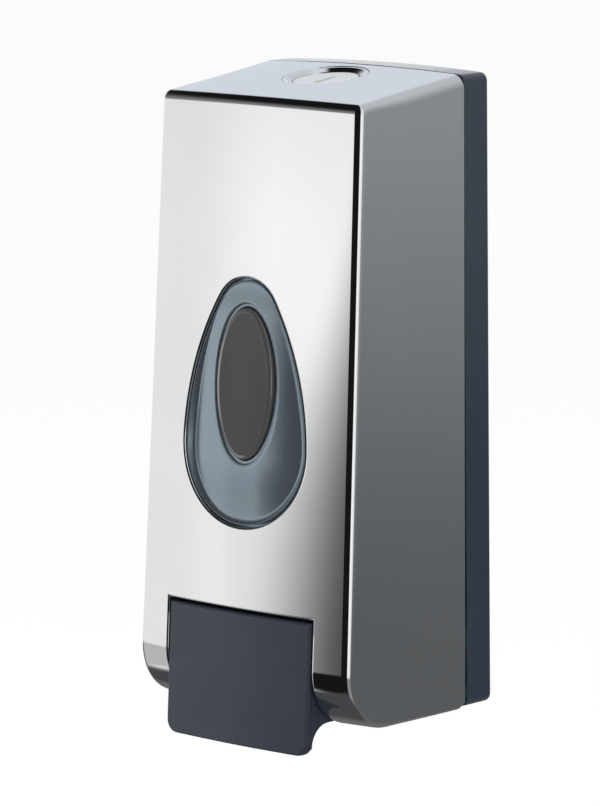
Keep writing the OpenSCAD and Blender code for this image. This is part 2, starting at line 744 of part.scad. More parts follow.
module push_lever() {
    edge_fall = crown_fall(lever_w / 2);
    back_d = face_d(lever_bottom_v) - edge_fall - lever_t;
    inside_d = back_d + lever_t / 2;
    rib_d = face_d(lever_top_v) - (edge_fall + lever_t) / 2;
    behind_wall = axle_y + hub_r;
    cheek = concat(
        arc([back_d - cheek_fillet_r, cheek_z - cheek_fillet_r], cheek_fillet_r, 0, 90, 6),
        [[cheek_d, cheek_z], [cheek_d, axle_z - 4 * hub_r], [axle_y - hub_r * 0.8, axle_z],
            [axle_y, axle_z + hub_r * 0.8], [behind_wall - 0.5, axle_z],
            [behind_wall - 0.5, notch_top_z - 2 * lever_gap],
            [face_d(lever_top_v) - edge_fall - lever_t / 2, lever_top_v - 1],
            [inside_d, cheek_z - cheek_fillet_r]]);
    color("darkslategray") framed() difference() {
        union() {
            on_front() intersection() {
                crown_layer(0, lever_t);
                slab(-lever_t * 3, lever_t * 2) polygon(concat(
                    arc([lever_w / 2 - lever_corner_r, lever_bottom_v + lever_corner_r], lever_corner_r, -90, 0, 6),
                    [[lever_w / 2, lever_top_v], [-lever_w / 2, lever_top_v]],
                    arc([-lever_w / 2 + lever_corner_r, lever_bottom_v + lever_corner_r], lever_corner_r, 180, 270, 6)));
            }
            both_sides() profile_x(cheek_t, (lever_w - cheek_t) / 2) polygon(cheek);
            bar_x(hub_r, lever_w, 0, axle_y, axle_z);
            profile_x(lever_w - cheek_t) polygon([[axle_y, axle_z], [axle_y + hub_r - 1.5, axle_z],
                [behind_wall - 0.5, notch_top_z - 4 * lever_gap], [rib_d, lever_top_v - 3],
                [rib_d, lever_top_v - 7], [behind_wall - 3, lever_top_v - 7]]);
            block(-pad_half_w, pad_half_w, pad_d, face_d(pump_z) - lever_t / 2,
                pump_z - pad_half_h, pump_z + pad_half_h);
        }
        bar_x(axle_d / 2 + run_fit, big, 0, axle_y, axle_z);
    }
}

// Reach of the lever axle past the middle, to the outer side of its clips
axle_half = notch_half + axle_boss_w + 0.2 + clip_t + 1;

module lever_axle() {
    color("silver") framed() difference() {
        bar_x(axle_d / 2, 2 * axle_half, 0, axle_y, axle_z);
        both_sides() translate([axle_half - 1 - clip_t - seat_gap / 2, -axle_y, axle_z]) rotate([0, 90, 0])
            rotate_extrude() translate([axle_d / 2 - 0.5, 0]) square([2, clip_t + seat_gap]);
    }
}

module axle_clips() {
    color("dimgray") framed() both_sides()
        translate([axle_half - 1 - clip_t, -axle_y, axle_z]) rotate([0, 90, 0]) difference() {
            cylinder(r = axle_d, h = clip_t);
            translate([0, 0, -1]) cylinder(r = axle_d / 2 - 0.5 + seat_gap / 2, h = clip_t + 2);
            translate([0, -axle_d * 0.3, -1]) cube([axle_d * 2, axle_d * 0.6, clip_t + 2]);
        }
}

// Filler mouth and flap hinge
mouth_x1 = tank_w / 2 - 6;
mouth_x0 = mouth_x1 - mouth_w;
mouth_d0 = rib_d1 + free_gap + hook_lip + 4;
mouth_d1 = mouth_d0 + mouth_l;
collar_t = 1.6;
knuckle_r = flap_pin_d / 2 + 1.2;
flap_hinge_x = mouth_x1 + collar_t + knuckle_r + free_gap;
flap_hinge_z = tank_z1 + collar_h + seat_gap + flap_t / 2;
knuckle_d0 = mouth_d0 + mouth_l * 0.3;
knuckle_d1 = mouth_d1 - mouth_l * 0.3;
neck_z0 = tank_z0 - 15;

// Body of the tank, inset by a wall, between two heights
module tank_box(inset, z0, z1) {
    translate([0, 0, z0]) linear_extrude(z1 - z0)
        polygon(round_box(-tank_w / 2 + inset, tank_w / 2 - inset, -tank_d1 + inset, -tank_d0 - inset,
            tank_edge_r - inset));
}

module soap_tank() {
    color("white", 0.6) framed() difference() {
        union() {
            tank_box(0, tank_z0, tank_z1);
            bar_z(neck_d / 2, neck_z0, tank_z0 + 1, 0, port_d);
            block(mouth_x0 - collar_t, mouth_x1 + collar_t, mouth_d0 - collar_t, mouth_d1 + collar_t,
                tank_z1 - 1, tank_z1 + collar_h);
            both_sides() block(hook_x0 - 1, hook_x1 + 1, rib_d0, rib_d1, tank_z1 - 1, tank_z1 + rib_h);
            for (d = [[mouth_d0, knuckle_d0 - free_gap], [knuckle_d1 + free_gap, mouth_d1]]) {
                bar_y(knuckle_r, d[0], d[1], flap_hinge_x, flap_hinge_z);
                block(flap_hinge_x - 1, flap_hinge_x + 1, d[0], d[1], tank_z1 - 1, flap_hinge_z);
            }
        }
        tank_box(tank_wall, tank_z0 + tank_wall, tank_z1 - tank_wall);
        bar_z(neck_d / 2 - 3, neck_z0 - 1, tank_z0 + tank_wall + 1, 0, port_d);
        block(mouth_x0, mouth_x1, mouth_d0, mouth_d1, tank_z1 - tank_wall - 1, tank_z1 + collar_h + 1);
        bar_y(flap_pin_d / 2 + run_fit, mouth_d0 - 1, mouth_d1 + 1, flap_hinge_x, flap_hinge_z);
    }
}

module filler_flap() {
    z0 = flap_hinge_z - flap_t / 2;
    edge_x = flap_hinge_x - knuckle_r - free_gap;
    lip = 2.4;
    side = 0.7;
    color("lightsteelblue") framed() difference() {
        union() {
            block(mouth_x0 - collar_t - 1, edge_x, mouth_d0 - collar_t, mouth_d1 + collar_t, z0, z0 + flap_t);
            block(edge_x - 1, flap_hinge_x, knuckle_d0, knuckle_d1, z0, z0 + flap_t);
            bar_y(knuckle_r, knuckle_d0, knuckle_d1, flap_hinge_x, flap_hinge_z);
            block(mouth_x0 + side, mouth_x1 - side, mouth_d0 + side, mouth_d1 - side, z0 - lip, z0 + eps);
        }
        bar_y(flap_pin_d / 2 + run_fit, mouth_d0 - 1, mouth_d1 + 1, flap_hinge_x, flap_hinge_z);
        block(mouth_x0 + 3 * side, mouth_x1 - 3 * side, mouth_d0 + 3 * side, mouth_d1 - 3 * side,
            z0 - lip - 1, z0);
    }
}

module flap_pin() {
    color("silver") framed() bar_y(flap_pin_d / 2, mouth_d0 - 0.5, mouth_d1 + 0.5, flap_hinge_x, flap_hinge_z);
}

// Levels of the joint between tank and pump, and of the outlet
gasket_h = 1.5;
riser_z1 = neck_z0 - gasket_h;
flange_t = 2;
valve_seat_r = riser_d / 2 - 0.6;
valve_flange_t = 1.4;
outlet_z = pump_z - pump_od / 2 - 1.5;
socket_r = outlet_r - 2.5;
socket_h = 3;
pump_ear_t = 4;
screw_head_t = 2;

module pump_body() {
    color("whitesmoke") framed() difference() {
        union() {
            bar_y(pump_od / 2, pump_d0, pump_d1, 0, pump_z);
            bar_z(riser_d / 2, pump_z, riser_z1, 0, port_d);
            bar_z(neck_d / 2, riser_z1 - flange_t, riser_z1, 0, port_d);
            bar_z(outlet_r, outlet_z, pump_z, 0, port_d);
            block(-pump_screw_x, pump_screw_x, pump_d0, pump_d0 + pump_ear_t, pump_z - post_r, pump_z + post_r);
            both_sides() bar_y(post_r, pump_d0, pump_d0 + pump_ear_t, pump_screw_x, pump_z);
        }
        bar_y(bore_d / 2, pump_d0 + 3, pump_d1 + 1, 0, pump_z);
        bar_z(valve_seat_r - 1.6, pump_z, riser_z1 + 1, 0, port_d);
        bar_z(valve_seat_r, riser_z1 - valve_flange_t, riser_z1 + 1, 0, port_d);
        bar_z(socket_r - 2.4, outlet_z - 1, pump_z, 0, port_d);
        bar_z(socket_r, outlet_z - 1, outlet_z + socket_h, 0, port_d);
        both_sides() bar_y(pump_screw_d / 2 + seat_gap, pump_d0 - 1, pump_d0 + pump_ear_t + 1, pump_screw_x, pump_z);
    }
}

// Stations of the plunger along its axis, from the wall
piston_d1 = pump_d1 - 3;
piston_l = 7;
head_d1 = pad_d - free_gap;
dome_r = 10;
dome_h = 1.2;
head_t = 2.5;
head_d0 = head_d1 - dome_h - head_t;
seal_r = 0.75;
seal_d = piston_d1 - piston_l / 2;

module pump_gland() {
    color("whitesmoke") framed() difference() {
        union() {
            bar_y(pump_od / 2, pump_d1, pump_d1 + gland_t, 0, pump_z);
            bar_y(bore_d / 2 - run_fit, pump_d1 - 1.8, pump_d1 + 1, 0, pump_z);
        }
        bar_y(rod_d / 2 + run_fit, pump_d1 - 3, pump_d1 + gland_t + 1, 0, pump_z);
    }
}

module plunger() {
    color("white") framed() difference() {
        union() {
            bar_y(bore_d / 2 - run_fit, piston_d1 - piston_l, piston_d1, 0, pump_z);
            bar_y(rod_d / 2, piston_d1 - 1, head_d0 + 1, 0, pump_z);
            bar_y(head_d / 2, head_d0, head_d0 + head_t, 0, pump_z);
            intersection() {
                translate([0, -head_d1 + dome_r, pump_z]) sphere(r = dome_r);
                bar_y(head_d / 2, head_d0 + head_t - 0.5, head_d1 + 1, 0, pump_z);
            }
        }
        translate([0, -seal_d + seal_r + run_fit, pump_z]) rotate([90, 0, 0]) rotate_extrude()
            translate([bore_d / 2 - 2 * seal_r - 2 * run_fit, 0]) square([4 * seal_r, 2 * seal_r + 2 * run_fit]);
    }
}

module plunger_seal() {
    color("black") framed() translate([0, -seal_d, pump_z]) rotate([90, 0, 0]) rotate_extrude()
        translate([bore_d / 2 - seal_r - run_fit, 0]) circle(r = seal_r);
}

module pump_screws() {
    color("silver") framed() both_sides() {
        bar_y(pump_screw_d / 2 - 0.2 - run_fit, pump_d0 - screw_bite, pump_d0 + pump_ear_t + 0.5,
            pump_screw_x, pump_z);
        bar_y(pump_screw_d, pump_d0 + pump_ear_t, pump_d0 + pump_ear_t + screw_head_t, pump_screw_x, pump_z);
    }
}

module union_nut() {
    lip_t = 2;
    grip = 9.5;
    color("whitesmoke") framed() difference() {
        translate([0, -port_d, riser_z1 - flange_t - lip_t])
            cylinder(r = union_d / 2, h = lip_t + flange_t + gasket_h + grip, $fn = 12);
        bar_z(riser_d / 2 + seat_gap, 0, tank_z0, 0, port_d);
        bar_z(neck_d / 2 + seat_gap, riser_z1 - flange_t, tank_z0, 0, port_d);
    }
}

module neck_gasket() {
    color("black") framed() difference() {
        bar_z(neck_d / 2, riser_z1, neck_z0, 0, port_d);
        bar_z(neck_d / 2 - 3, riser_z1 - 1, neck_z0 + 1, 0, port_d);
    }
}

// Duckbill valve that hangs from its flange, with the top of the flange at z
module duckbill(flange_r, body_r, z) {
    body_h = 2.4;
    bill_h = 2.2;
    difference() {
        union() {
            bar_z(flange_r, z - valve_flange_t + seat_gap, z, 0, port_d);
            bar_z(body_r, z - valve_flange_t - body_h, z - seat_gap, 0, port_d);
            translate([0, -port_d, z - valve_flange_t - body_h - bill_h])
                cylinder(r1 = body_r * 0.4, r2 = body_r, h = bill_h + eps);
        }
        bar_z(body_r * 0.55, z - valve_flange_t - body_h, z + 1, 0, port_d);
    }
}

module inlet_valve() {
    color("lightyellow") framed() duckbill(valve_seat_r - seat_gap, valve_seat_r - 2, riser_z1);
}

module outlet_valve() {
    color("lightyellow") framed() duckbill(socket_r - seat_gap, socket_r - 2, outlet_z + socket_h);
}

module nozzle() {
    bore_r = socket_r - 1.6;
    color("whitesmoke") framed() difference() {
        union() {
            bar_z(socket_r - seat_gap, outlet_z - 1, outlet_z + socket_h - valve_flange_t - seat_gap, 0, port_d);
            bar_z(outlet_r, outlet_z - 1.8, outlet_z, 0, port_d);
            bar_z(nozzle_d / 2, nozzle_z, outlet_z - 1, 0, port_d);
        }
        bar_z(bore_r, outlet_z - 3, outlet_z + socket_h, 0, port_d);
        bar_z(bore_r * 0.6, nozzle_z - 1, outlet_z, 0, port_d);
    }
}

// Return spring between gland and plunger head: one helical tube
spring_d0 = pump_d1 + gland_t + spring_wire / 2 + seat_gap;
spring_l = head_d0 - spring_wire / 2 - seat_gap - spring_d0;
rings_per_turn = 8;
tube_sides = 6;
ring_count = round(spring_turns * rings_per_turn);
function helix(t) = let (a = 360 * spring_turns * t)
    [spring_d / 2 * cos(a), -spring_d0 - spring_l * t, pump_z + spring_d / 2 * sin(a)];
function ring(t) = let (
    a = 360 * spring_turns * t,
    out = [cos(a), 0, sin(a)],
    step = helix(t + 0.001) - helix(t - 0.001),
    along = step / norm(step),
    across = cross(along, out))
    [for (i = [0 : tube_sides - 1]) let (b = 360 * i / tube_sides)
        helix(t) + spring_wire / 2 * (cos(b) * out + sin(b) * across)];
spring_gap = min([for (i = [0 : ring_count], j = [i + rings_per_turn / 2 : ring_count])
    norm(helix(i / ring_count) - helix(j / ring_count)) - spring_wire]);
echo("least gap between spring turns", spring_gap);

module pump_spring() {
    points = [for (i = [0 : ring_count]) each ring(i / ring_count)];
    last = ring_count * tube_sides;
    walls = [for (i = [0 : ring_count - 1], k = [0 : tube_sides - 1]) let (
        a = i * tube_sides + k,
        b = i * tube_sides + (k + 1) % tube_sides)
        each [[a, b, b + tube_sides], [a, b + tube_sides, a + tube_sides]]];
    caps = [for (k = [1 : tube_sides - 2]) each [[0, k + 1, k], [last, last + k, last + k + 1]]];
    color("silver") framed() polyhedron(points, concat(walls, caps));
}

wall_base();
front_cover();
window_trim();
window_lens();
lens_gasket();
lock_bezel();
lock_nut();
lock_barrel();
lock_clip();
lock_cam();
cam_screw();
lock_strike();
hinge_pins();
push_lever();
lever_axle();
axle_clips();
soap_tank();
filler_flap();
flap_pin();
pump_body();
pump_gland();
pump_screws();
union_nut();
neck_gasket();
inlet_valve();
outlet_valve();
nozzle();
plunger();
plunger_seal();
pump_spring();
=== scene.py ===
import math
import bpy
import bmesh
import numpy as np
from mathutils import Matrix, Vector


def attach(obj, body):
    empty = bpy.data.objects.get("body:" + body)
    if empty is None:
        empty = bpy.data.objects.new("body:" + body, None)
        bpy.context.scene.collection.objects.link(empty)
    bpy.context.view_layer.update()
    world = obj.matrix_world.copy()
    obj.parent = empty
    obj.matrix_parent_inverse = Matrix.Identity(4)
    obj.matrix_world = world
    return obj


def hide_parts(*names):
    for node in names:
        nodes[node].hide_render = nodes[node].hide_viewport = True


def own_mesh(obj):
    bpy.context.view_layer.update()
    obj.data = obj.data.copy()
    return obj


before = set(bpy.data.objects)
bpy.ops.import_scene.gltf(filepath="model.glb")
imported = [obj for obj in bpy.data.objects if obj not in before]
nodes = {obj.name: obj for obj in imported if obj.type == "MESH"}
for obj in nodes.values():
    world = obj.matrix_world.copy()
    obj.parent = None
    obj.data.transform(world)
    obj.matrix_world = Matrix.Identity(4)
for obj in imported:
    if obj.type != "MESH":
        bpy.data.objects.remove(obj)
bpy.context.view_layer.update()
scene = bpy.context.scene
scene.view_settings.view_transform = "Standard"


# The camera stands in front of the dispenser, well to its right and a little above it.
# A long lens keeps the upright edges nearly parallel.
view_turn, view_rise = math.radians(41.058), math.radians(8.848)
camera_far, shift_right, shift_up = 1.68273, 0.004962, -0.003736
sensor_width, lens_length = 36, 219.38
toward_camera = Vector((math.sin(view_turn) * math.cos(view_rise),
                        -math.cos(view_turn) * math.cos(view_rise), math.sin(view_rise)))
picture_right = Vector((math.cos(view_turn), math.sin(view_turn), 0))
picture_up = toward_camera.cross(picture_right)
aim = Vector((0, -0.0528, 0))
camera_place = aim + camera_far * toward_camera + shift_right * picture_right + shift_up * picture_up
camera = bpy.data.objects.new("camera", bpy.data.cameras.new("camera"))
camera.data.sensor_width = sensor_width
camera.data.lens = lens_length
camera.matrix_world = Matrix.Translation(camera_place) @ Matrix(
    (picture_right, picture_up, toward_camera)).transposed().to_4x4()
scene.collection.objects.link(camera)
scene.camera = camera


# The wall base is moulded in slate grey ABS: a back plate with a rim, hinge ears, tank shelves and
# pump posts. Its outside has a soft gloss over a very fine grain, and its edges are slightly broken.
# Screws through four holes in the back plate hold it to the wall.
def start_finish(name):
    material = bpy.data.materials.new(name)
    material.use_nodes = True
    tree = material.node_tree
    place = tree.nodes.new("ShaderNodeTexCoord").outputs["Object"]
    return material, tree, tree.nodes["Principled BSDF"], place


def mottle(tree, place, scale, detail=2.0, stretch=(1, 1, 1)):
    mapping = tree.nodes.new("ShaderNodeMapping")
    mapping.inputs["Scale"].default_value = stretch
    noise = tree.nodes.new("ShaderNodeTexNoise")
    noise.inputs["Scale"].default_value = scale
    noise.inputs["Detail"].default_value = detail
    tree.links.new(place, mapping.inputs["Vector"])
    tree.links.new(mapping.outputs["Vector"], noise.inputs["Vector"])
    return noise.outputs["Fac"]


def vary(tree, pattern, socket, low, high):
    spread = tree.nodes.new("ShaderNodeMapRange")
    for name, number in (("From Min", 0.3), ("From Max", 0.7), ("To Min", low), ("To Max", high)):
        spread.inputs[name].default_value = number
    tree.links.new(pattern, spread.inputs["Value"])
    tree.links.new(spread.outputs["Result"], socket)


def tint(tree, pattern, socket, one, other):
    ramp = tree.nodes.new("ShaderNodeValToRGB")
    for stop, position, colour in zip(ramp.color_ramp.elements, (0.32, 0.68), (one, other)):
        stop.position = position
        stop.color = (*colour, 1)
    tree.links.new(pattern, ramp.inputs["Fac"])
    tree.links.new(ramp.outputs["Color"], socket)


def grain(tree, pattern, shader, depth):
    bump = tree.nodes.new("ShaderNodeBump")
    bump.inputs["Strength"].default_value = 1.0
    bump.inputs["Distance"].default_value = depth
    tree.links.new(pattern, bump.inputs["Height"])
    tree.links.new(bump.outputs["Normal"], shader.inputs["Normal"])


def moulded(name, one, other, shine, rough, grain_size, grain_depth):
    material, tree, shader, place = start_finish(name)
    flow = mottle(tree, place, 40, 3)
    fine = mottle(tree, place, 1 / grain_size, 2)
    tint(tree, flow, shader.inputs["Base Color"], one, other)
    vary(tree, fine, shader.inputs["Roughness"], shine, rough)
    grain(tree, fine, shader, grain_depth)
    return material


def wear(obj, material):
    obj.data.materials.clear()
    obj.data.materials.append(material)


def merged(node):
    work = bmesh.new()
    work.from_mesh(nodes[node].data)
    bmesh.ops.remove_doubles(work, verts=work.verts, dist=2e-6)
    bmesh.ops.dissolve_limit(work, angle_limit=math.radians(1), verts=work.verts, edges=work.edges)
    return work


def piece_from(work, name, sharp):
    mesh = bpy.data.meshes.new(name)
    work.to_mesh(mesh)
    work.free()
    if mesh.has_custom_normals:
        mesh.attributes.remove(mesh.attributes["custom_normal"])
    mesh.polygons.foreach_set("use_smooth", [True] * len(mesh.polygons))
    mesh.set_sharp_from_angle(angle=math.radians(sharp))
    piece = bpy.data.objects.new(name, mesh)
    scene.collection.objects.link(piece)
    return piece


def softened(work, node, name, body, material, edge, turns=2, limit=35):
    piece = piece_from(work, name, limit)
    wear(piece, material)
    bevel = piece.modifiers.new("broken_edges", "BEVEL")
    bevel.limit_method = "ANGLE"
    bevel.angle_limit = math.radians(limit)
    bevel.width = edge
    bevel.segments = turns
    bevel.use_clamp_overlap = False
    bevel.harden_normals = True
    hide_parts(node)
    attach(piece, body)


slate = moulded("slate_abs", (0.018, 0.029, 0.047), (0.021, 0.033, 0.053), shine=0.25, rough=0.28,
                grain_size=0.0012, grain_depth=0.0000006)
slate_shader = slate.node_tree.nodes["Principled BSDF"]
slate_shader.inputs["Coat Weight"].default_value = 0.8
slate_shader.inputs["Coat Roughness"].default_value = 0.06
softened(merged("wall_base"), "wall_base", "wall_base_moulding", "base", slate, 0.0004)


# The keeper is cut and bent from bright zinc-plated steel, and staked to the back plate. The hinge pins,
# the lever's axle and its clips, the flap pin, the screws and the spring have the same bright finish.
def plated(name, one, other, shine, rough):
    material, tree, shader, place = start_finish(name)
    drawn = mottle(tree, place, 300, 4, (1, 1, 12))
    tint(tree, drawn, shader.inputs["Base Color"], one, other)
    vary(tree, drawn, shader.inputs["Roughness"], shine, rough)
    grain(tree, drawn, shader, 0.000004)
    shader.inputs["Metallic"].default_value = 1.0
    return material


zinc = plated("bright_zinc", (0.55, 0.56, 0.57), (0.66, 0.66, 0.66), shine=0.24, rough=0.36)
for node in ("lock_strike", "flap_pin", "pump_screws", "hinge_pins", "lever_axle", "axle_clips"):
    wear(nodes[node], zinc)


# The soap tank and its flap are blow moulded and injection moulded in natural polypropylene.
# The plastic is milky, lets light through and has a soft shine.
def milky(name, one, other, through):
    material, tree, shader, place = start_finish(name)
    cloud = mottle(tree, place, 60, 3)
    fine = mottle(tree, place, 1500, 2)
    tint(tree, cloud, shader.inputs["Base Color"], one, other)
    vary(tree, fine, shader.inputs["Roughness"], 0.30, 0.42)
    grain(tree, fine, shader, 0.000008)
    shader.inputs["Transmission Weight"].default_value = through
    shader.inputs["IOR"].default_value = 1.49
    return material


natural = milky("natural_pp", (0.78, 0.79, 0.78), (0.84, 0.85, 0.84), through=0.35)
for node in ("soap_tank", "filler_flap"):
    wear(nodes[node], natural)


# The pump is turned and moulded in white acetal, with black rubber and clear silicone seals.
# A union nut hangs it from the neck of the tank, and two screws hold it to the base.
acetal = moulded("white_acetal", (0.74, 0.74, 0.72), (0.80, 0.80, 0.78), shine=0.30, rough=0.40,
                 grain_size=0.0007, grain_depth=0.000008)
rubber = moulded("black_rubber", (0.012, 0.012, 0.013), (0.018, 0.018, 0.019), shine=0.55, rough=0.68,
                 grain_size=0.0004, grain_depth=0.000012)
silicone = milky("clear_silicone", (0.80, 0.82, 0.82), (0.86, 0.87, 0.87), through=0.5)
for node in ("pump_body", "pump_gland", "union_nut", "nozzle", "plunger"):
    wear(nodes[node], acetal)
for node in ("neck_gasket", "plunger_seal", "lens_gasket"):
    wear(nodes[node], rubber)
for node in ("inlet_valve", "outlet_valve"):
    wear(nodes[node], silicone)


# The return spring is wound from bright steel wire, four free turns between the gland and the plunger's
# head.
MM = 0.001
middle_z, pump_z = 110, 15
spring_axis_z, spring_start, wire_r = (pump_z - middle_z) * MM, 0.057, 0.00045
spring_sizes = {"Turns": 4.0, "Coil radius": 0.0058, "Wire radius": wire_r, "Length": 0.0109}
spring_tree = bpy.data.node_groups.new("wound_spring", "GeometryNodeTree")
sockets = {name: spring_tree.interface.new_socket(name, in_out="INPUT", socket_type="NodeSocketFloat")
           for name in spring_sizes}
spring_tree.interface.new_socket("Geometry", in_out="OUTPUT", socket_type="NodeSocketGeometry")
step, join = spring_tree.nodes.new, spring_tree.links.new
sizes_in, wound = step("NodeGroupInput"), step("GeometryNodeCurveSpiral")
wound.inputs["Resolution"].default_value = 48
wire, coil = step("GeometryNodeCurvePrimitiveCircle"), step("GeometryNodeCurveToMesh")
wire.inputs["Resolution"].default_value = 12
coil.inputs["Fill Caps"].default_value = True
less_wire, free_length = step("ShaderNodeMath"), step("ShaderNodeMath")
less_wire.operation, free_length.operation = "MULTIPLY", "SUBTRACT"
less_wire.inputs[1].default_value = 2.0
laid, whole, finish, result = (step(kind) for kind in (
    "GeometryNodeTransform", "GeometryNodeRealizeInstances", "GeometryNodeSetMaterial", "NodeGroupOutput"))
laid.inputs["Rotation"].default_value = (math.pi / 2, 0, 0)
finish.inputs["Material"].default_value = zinc
join(sizes_in.outputs["Turns"], wound.inputs["Rotations"])
for end in ("Start Radius", "End Radius"):
    join(sizes_in.outputs["Coil radius"], wound.inputs[end])
join(sizes_in.outputs["Wire radius"], wire.inputs["Radius"])
join(sizes_in.outputs["Wire radius"], less_wire.inputs[0])
join(sizes_in.outputs["Length"], free_length.inputs[0])
join(less_wire.outputs["Value"], free_length.inputs[1])
join(free_length.outputs["Value"], wound.inputs["Height"])
join(wound.outputs["Curve"], coil.inputs["Curve"])
join(wire.outputs["Curve"], coil.inputs["Profile Curve"])
join(coil.outputs["Mesh"], laid.inputs["Geometry"])
join(laid.outputs["Geometry"], whole.inputs["Geometry"])
join(whole.outputs["Geometry"], finish.inputs["Geometry"])
join(finish.outputs["Geometry"], result.inputs["Geometry"])
former = bpy.data.objects.new("spring_former", bpy.data.meshes.new("spring_former"))
scene.collection.objects.link(former)
winding = former.modifiers.new("winding", "NODES")
winding.node_group = spring_tree
for name, size in spring_sizes.items():
    winding[sockets[name].identifier] = size
wound_former = former.evaluated_get(bpy.context.evaluated_depsgraph_get())
spring_mesh = bpy.data.meshes.new_from_object(wound_former)
bpy.data.objects.remove(former)
spring_mesh.transform(Matrix.Translation((0, -spring_start - wire_r, spring_axis_z)))
spring_mesh.polygons.foreach_set("use_smooth", [True] * len(spring_mesh.polygons))
spring = bpy.data.objects.new("return_spring", spring_mesh)
scene.collection.objects.link(spring)
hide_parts("pump_spring")
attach(spring, "base")
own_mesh(spring)


# The cover is one thin zinc casting, bright chrome plated: a crowned front that leans back, drafted
# sides, a falling top and a curve under the front. It has a drop-shaped window, a lock hole and a notch
# for the push plate, and turns on two pins at the foot of the base.
lean, top_fall = math.radians(3), math.radians(7.6)
front_depth, rear_depth, cover_height = 80.2, 13, 220
wall, lip, rear_lip, small_lip = 2.5, 0.9, 0.9, 0.3
crown_r, arch_rise, arch_half = 310, 1.1, 45.65
curve_r, top_edge_r, hinge_r, hinge_d = 20, 3.6, 5.3, 18.3
edge_r, shoulder_r, curve_edge_r, under_edge_r, least_r = 3.2, 4.6, 1.3, 0.8, 0.3
notch_half, notch_top, notch_rear = 32.8, 38.0, 28.5
pocket_in, pocket_out, pocket_front = 38.77, 45.27, 25
side_half, side_draft, side_taper = 48.75, 0.01396, 0.01409
lock_d, lock_z, lock_r = 32, 217.465, 15.1
front_way = np.array([math.cos(lean), math.sin(lean)])
top_way = np.array([math.sin(top_fall), math.cos(top_fall)])
front_line = front_depth * front_way[0]
top_line = rear_depth * top_way[0] + cover_height * top_way[1]
side_way = np.array([1, side_draft, side_taper])
side_line = (side_half + side_draft * rear_depth) / np.linalg.norm(side_way)
side_way = side_way / np.linalg.norm(side_way)


def in_row(points):
    points = np.asarray(points, float)
    return np.stack([points[:, 0], -points[:, 1], points[:, 2] - middle_z], 1) * MM


def in_row_way(ways):
    ways = np.asarray(ways, float)
    return np.stack([ways[:, 0], -ways[:, 1], ways[:, 2]], 1)


def crown(x):
    return crown_r - np.sqrt(crown_r ** 2 - x * x)


def crown_slope(x):
    return x / np.sqrt(crown_r ** 2 - x * x)


def arch(x):
    return arch_rise * (x / arch_half) ** 2


def arch_slope(x):
    return 2 * arch_rise * x / arch_half ** 2


def way(angle):
    return np.array([math.cos(angle), math.sin(angle)])


def along_front(point):
    return point[2] * math.cos(lean) - (point[1] - front_depth) * math.sin(lean)


def along_top(point):
    return (point[1] - lock_d) * -math.cos(top_fall) + (point[2] - lock_z) * math.sin(top_fall)


def from_front(x, v, w):
    return np.stack([x, front_depth - v * math.sin(lean) + w * math.cos(lean),
                     v * math.cos(lean) + w * math.sin(lean)], -1)


def from_top(x, t, w):
    return np.stack([x, lock_d - t * math.cos(top_fall) + w * math.sin(top_fall),
                     lock_z + t * math.sin(top_fall) + w * math.cos(top_fall)], -1)


def on_front(x, v, sink):
    n = np.array([crown_slope(x), *front_way])
    return from_front(x, v, -crown(x) - sink), n / np.linalg.norm(n)


def on_top(x, t, sink):
    n = np.array([arch_slope(x), *top_way])
    return from_top(x, t, -arch(x) - sink), n / np.linalg.norm(n)


# Stations of the cover's profile, from the rear of the top round the front to the hinge corner. Each has
# a place and an outward way in depth and height, what the crown and the arch do there, and the radius of
# the side edge.
meet = np.array([front_way, top_way])
edge_c = np.linalg.solve(meet, np.array([front_line - top_edge_r, top_line - top_edge_r]))
curve_c = np.array([(front_line - curve_r - curve_r * front_way[1]) / front_way[0], curve_r])
hinge_c = np.array([hinge_d, hinge_r])
leaning = math.cos(lean + top_fall)
edge_crown = np.array([-math.cos(top_fall), math.sin(top_fall)]) / leaning
edge_arch = np.array([math.sin(lean), -math.cos(lean)]) / leaning
curve_crown = np.array([-1 / math.cos(lean), 0])
rear_arch = np.array([0, -1 / math.cos(top_fall)])
top_stop = (edge_c + top_edge_r * top_way)[0]
front_start = along_front((0, *(edge_c + top_edge_r * front_way)))
front_stop = along_front((0, *(curve_c + curve_r * front_way)))
lock_rear, lock_front, window_high, window_low = 15.2, 49.6, 158, 60
lock_rows, edge_rows, window_rows, curve_rows, hinge_rows = 13, 12, 47, 18, 7
shoulder_start, shoulder_stop, under_stop = 45, 63, 30
above_window = (front_start - 1.5, 200, 190, 180, 170, 163)
none = np.zeros(2)


